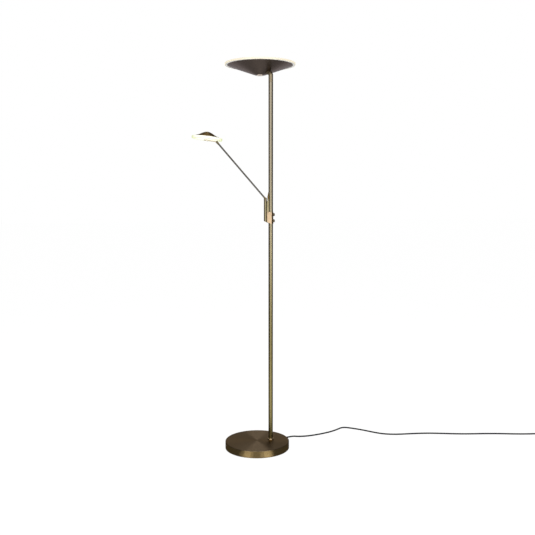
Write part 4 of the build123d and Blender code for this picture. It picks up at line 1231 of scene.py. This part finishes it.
def studio_point(aside, away, height):
    """A place in the studio, to the camera's right, away from it and up."""
    return view_right * aside + view_way * away + up * height


facing_card("studio_floor", up * floor_level, up, floor_size, floor_size, floor_material)

# Each card's place, the way it faces or None for the lamp, its width, its height and its light
metal_cards = {
    "left_low_card": ((-1.7, 2.12, 0.5), view_right, 7.76, 1.0, 0.06),
    "left_high_card": ((-1.7, 2.12, 2.6), view_right, 7.76, 3.2, 0.36),
    "right_card": ((1.7, 2.38, 2.1), -view_right, 7.25, 4.2, 0.16),
    "back_card": ((0, 6.0, 1.45), -view_way, 3.6, 2.9, 0.64),
    "floor_card": ((0, 0.1, 0.0002), up, 4.0, 5.4, 0.38),
    "right_floor_card": ((0.80, 0.30, 0.0003), up, 1.0, 1.5, 0.08),
    "near_floor_card": ((0.45, -2.43, 0.0003), up, 1.6, 4.14, 1.9),
    "ceiling_card": ((0, 0, 4.3), -up, 6.0, 8.0, 0.55),
    "front_card": ((-0.92, -4.6, 1.6), view_way, 7.05, 3.2, 2.4),
    "left_light_card": ((-1.85, -2.36, 3.0), None, 1.7, 1.6, 2.5),
    "right_light_card": ((1.75, -2.45, 3.0), None, 1.9, 1.6, 2.5),
    "block_light_card": ((1.71, -2.50, 0.78), None, 1.2, 0.60, 5.0),
    "post_light_card": ((1.71, -2.50, 1.13), None, 0.8, 0.10, 1.8),
}
for name, (place, facing, width, height, grey) in metal_cards.items():
    centre = studio_point(*place)
    way = lamp_middle - centre if facing is None else facing
    only_for_metal(facing_card(name, centre, way, width, height, card_paint(name, grey)))

# Bright strips on the floor in front of the base, which its wall shows as upright bands:
# each strip's bearing from the front, its length, its light and its height
strip_distance = 0.187
strip_half_depth = 0.03
foot_strips = {
    "left_foot_halo": (-21.5, 0.088, 1.7, 0.0004),
    "left_foot_strip": (-20.0, 0.045, 3.3, 0.0005),
    "right_foot_halo": (21.5, 0.088, 1.9, 0.0004),
    "right_foot_strip": (23.5, 0.048, 3.9, 0.0005),
}
for name, (bearing, length, grey, lift) in foot_strips.items():
    turn = radians(bearing)
    outward = studio_point(sin(turn), -cos(turn), 0)
    half_length = outward.cross(up) * (length / 2)
    half_depth = outward * strip_half_depth
    centre = outward * strip_distance + up * lift
    only_for_metal(flat_card(name, centre, half_length, half_depth, card_paint(name, grey)))


def soft_box(name, place, target, width, height, power):
    """An area lamp that faces a point."""
    lamp = bpy.data.lights.new(name, "AREA")
    lamp.shape = "RECTANGLE"
    lamp.size = width
    lamp.size_y = height
    lamp.energy = power
    box = placed(name, lamp)
    box.location = place
    box.rotation_euler = (target - place).to_track_quat("-Z", "Y").to_euler()
    return box


box_level = 1.25
for name, aside, away, width, power in (
    ("left_box", -1.85, -2.36, 1.7, 46),
    ("right_box", 1.75, -2.45, 1.9, 52),
):
    box = soft_box(name, studio_point(aside, away, box_level), up * box_level, width, 2.5, power)
    box.visible_glossy = False
soft_box("top_box", studio_point(0, -0.2, 3.6), Vector((0, 0, 0)), 1.2, 1.6, 8)
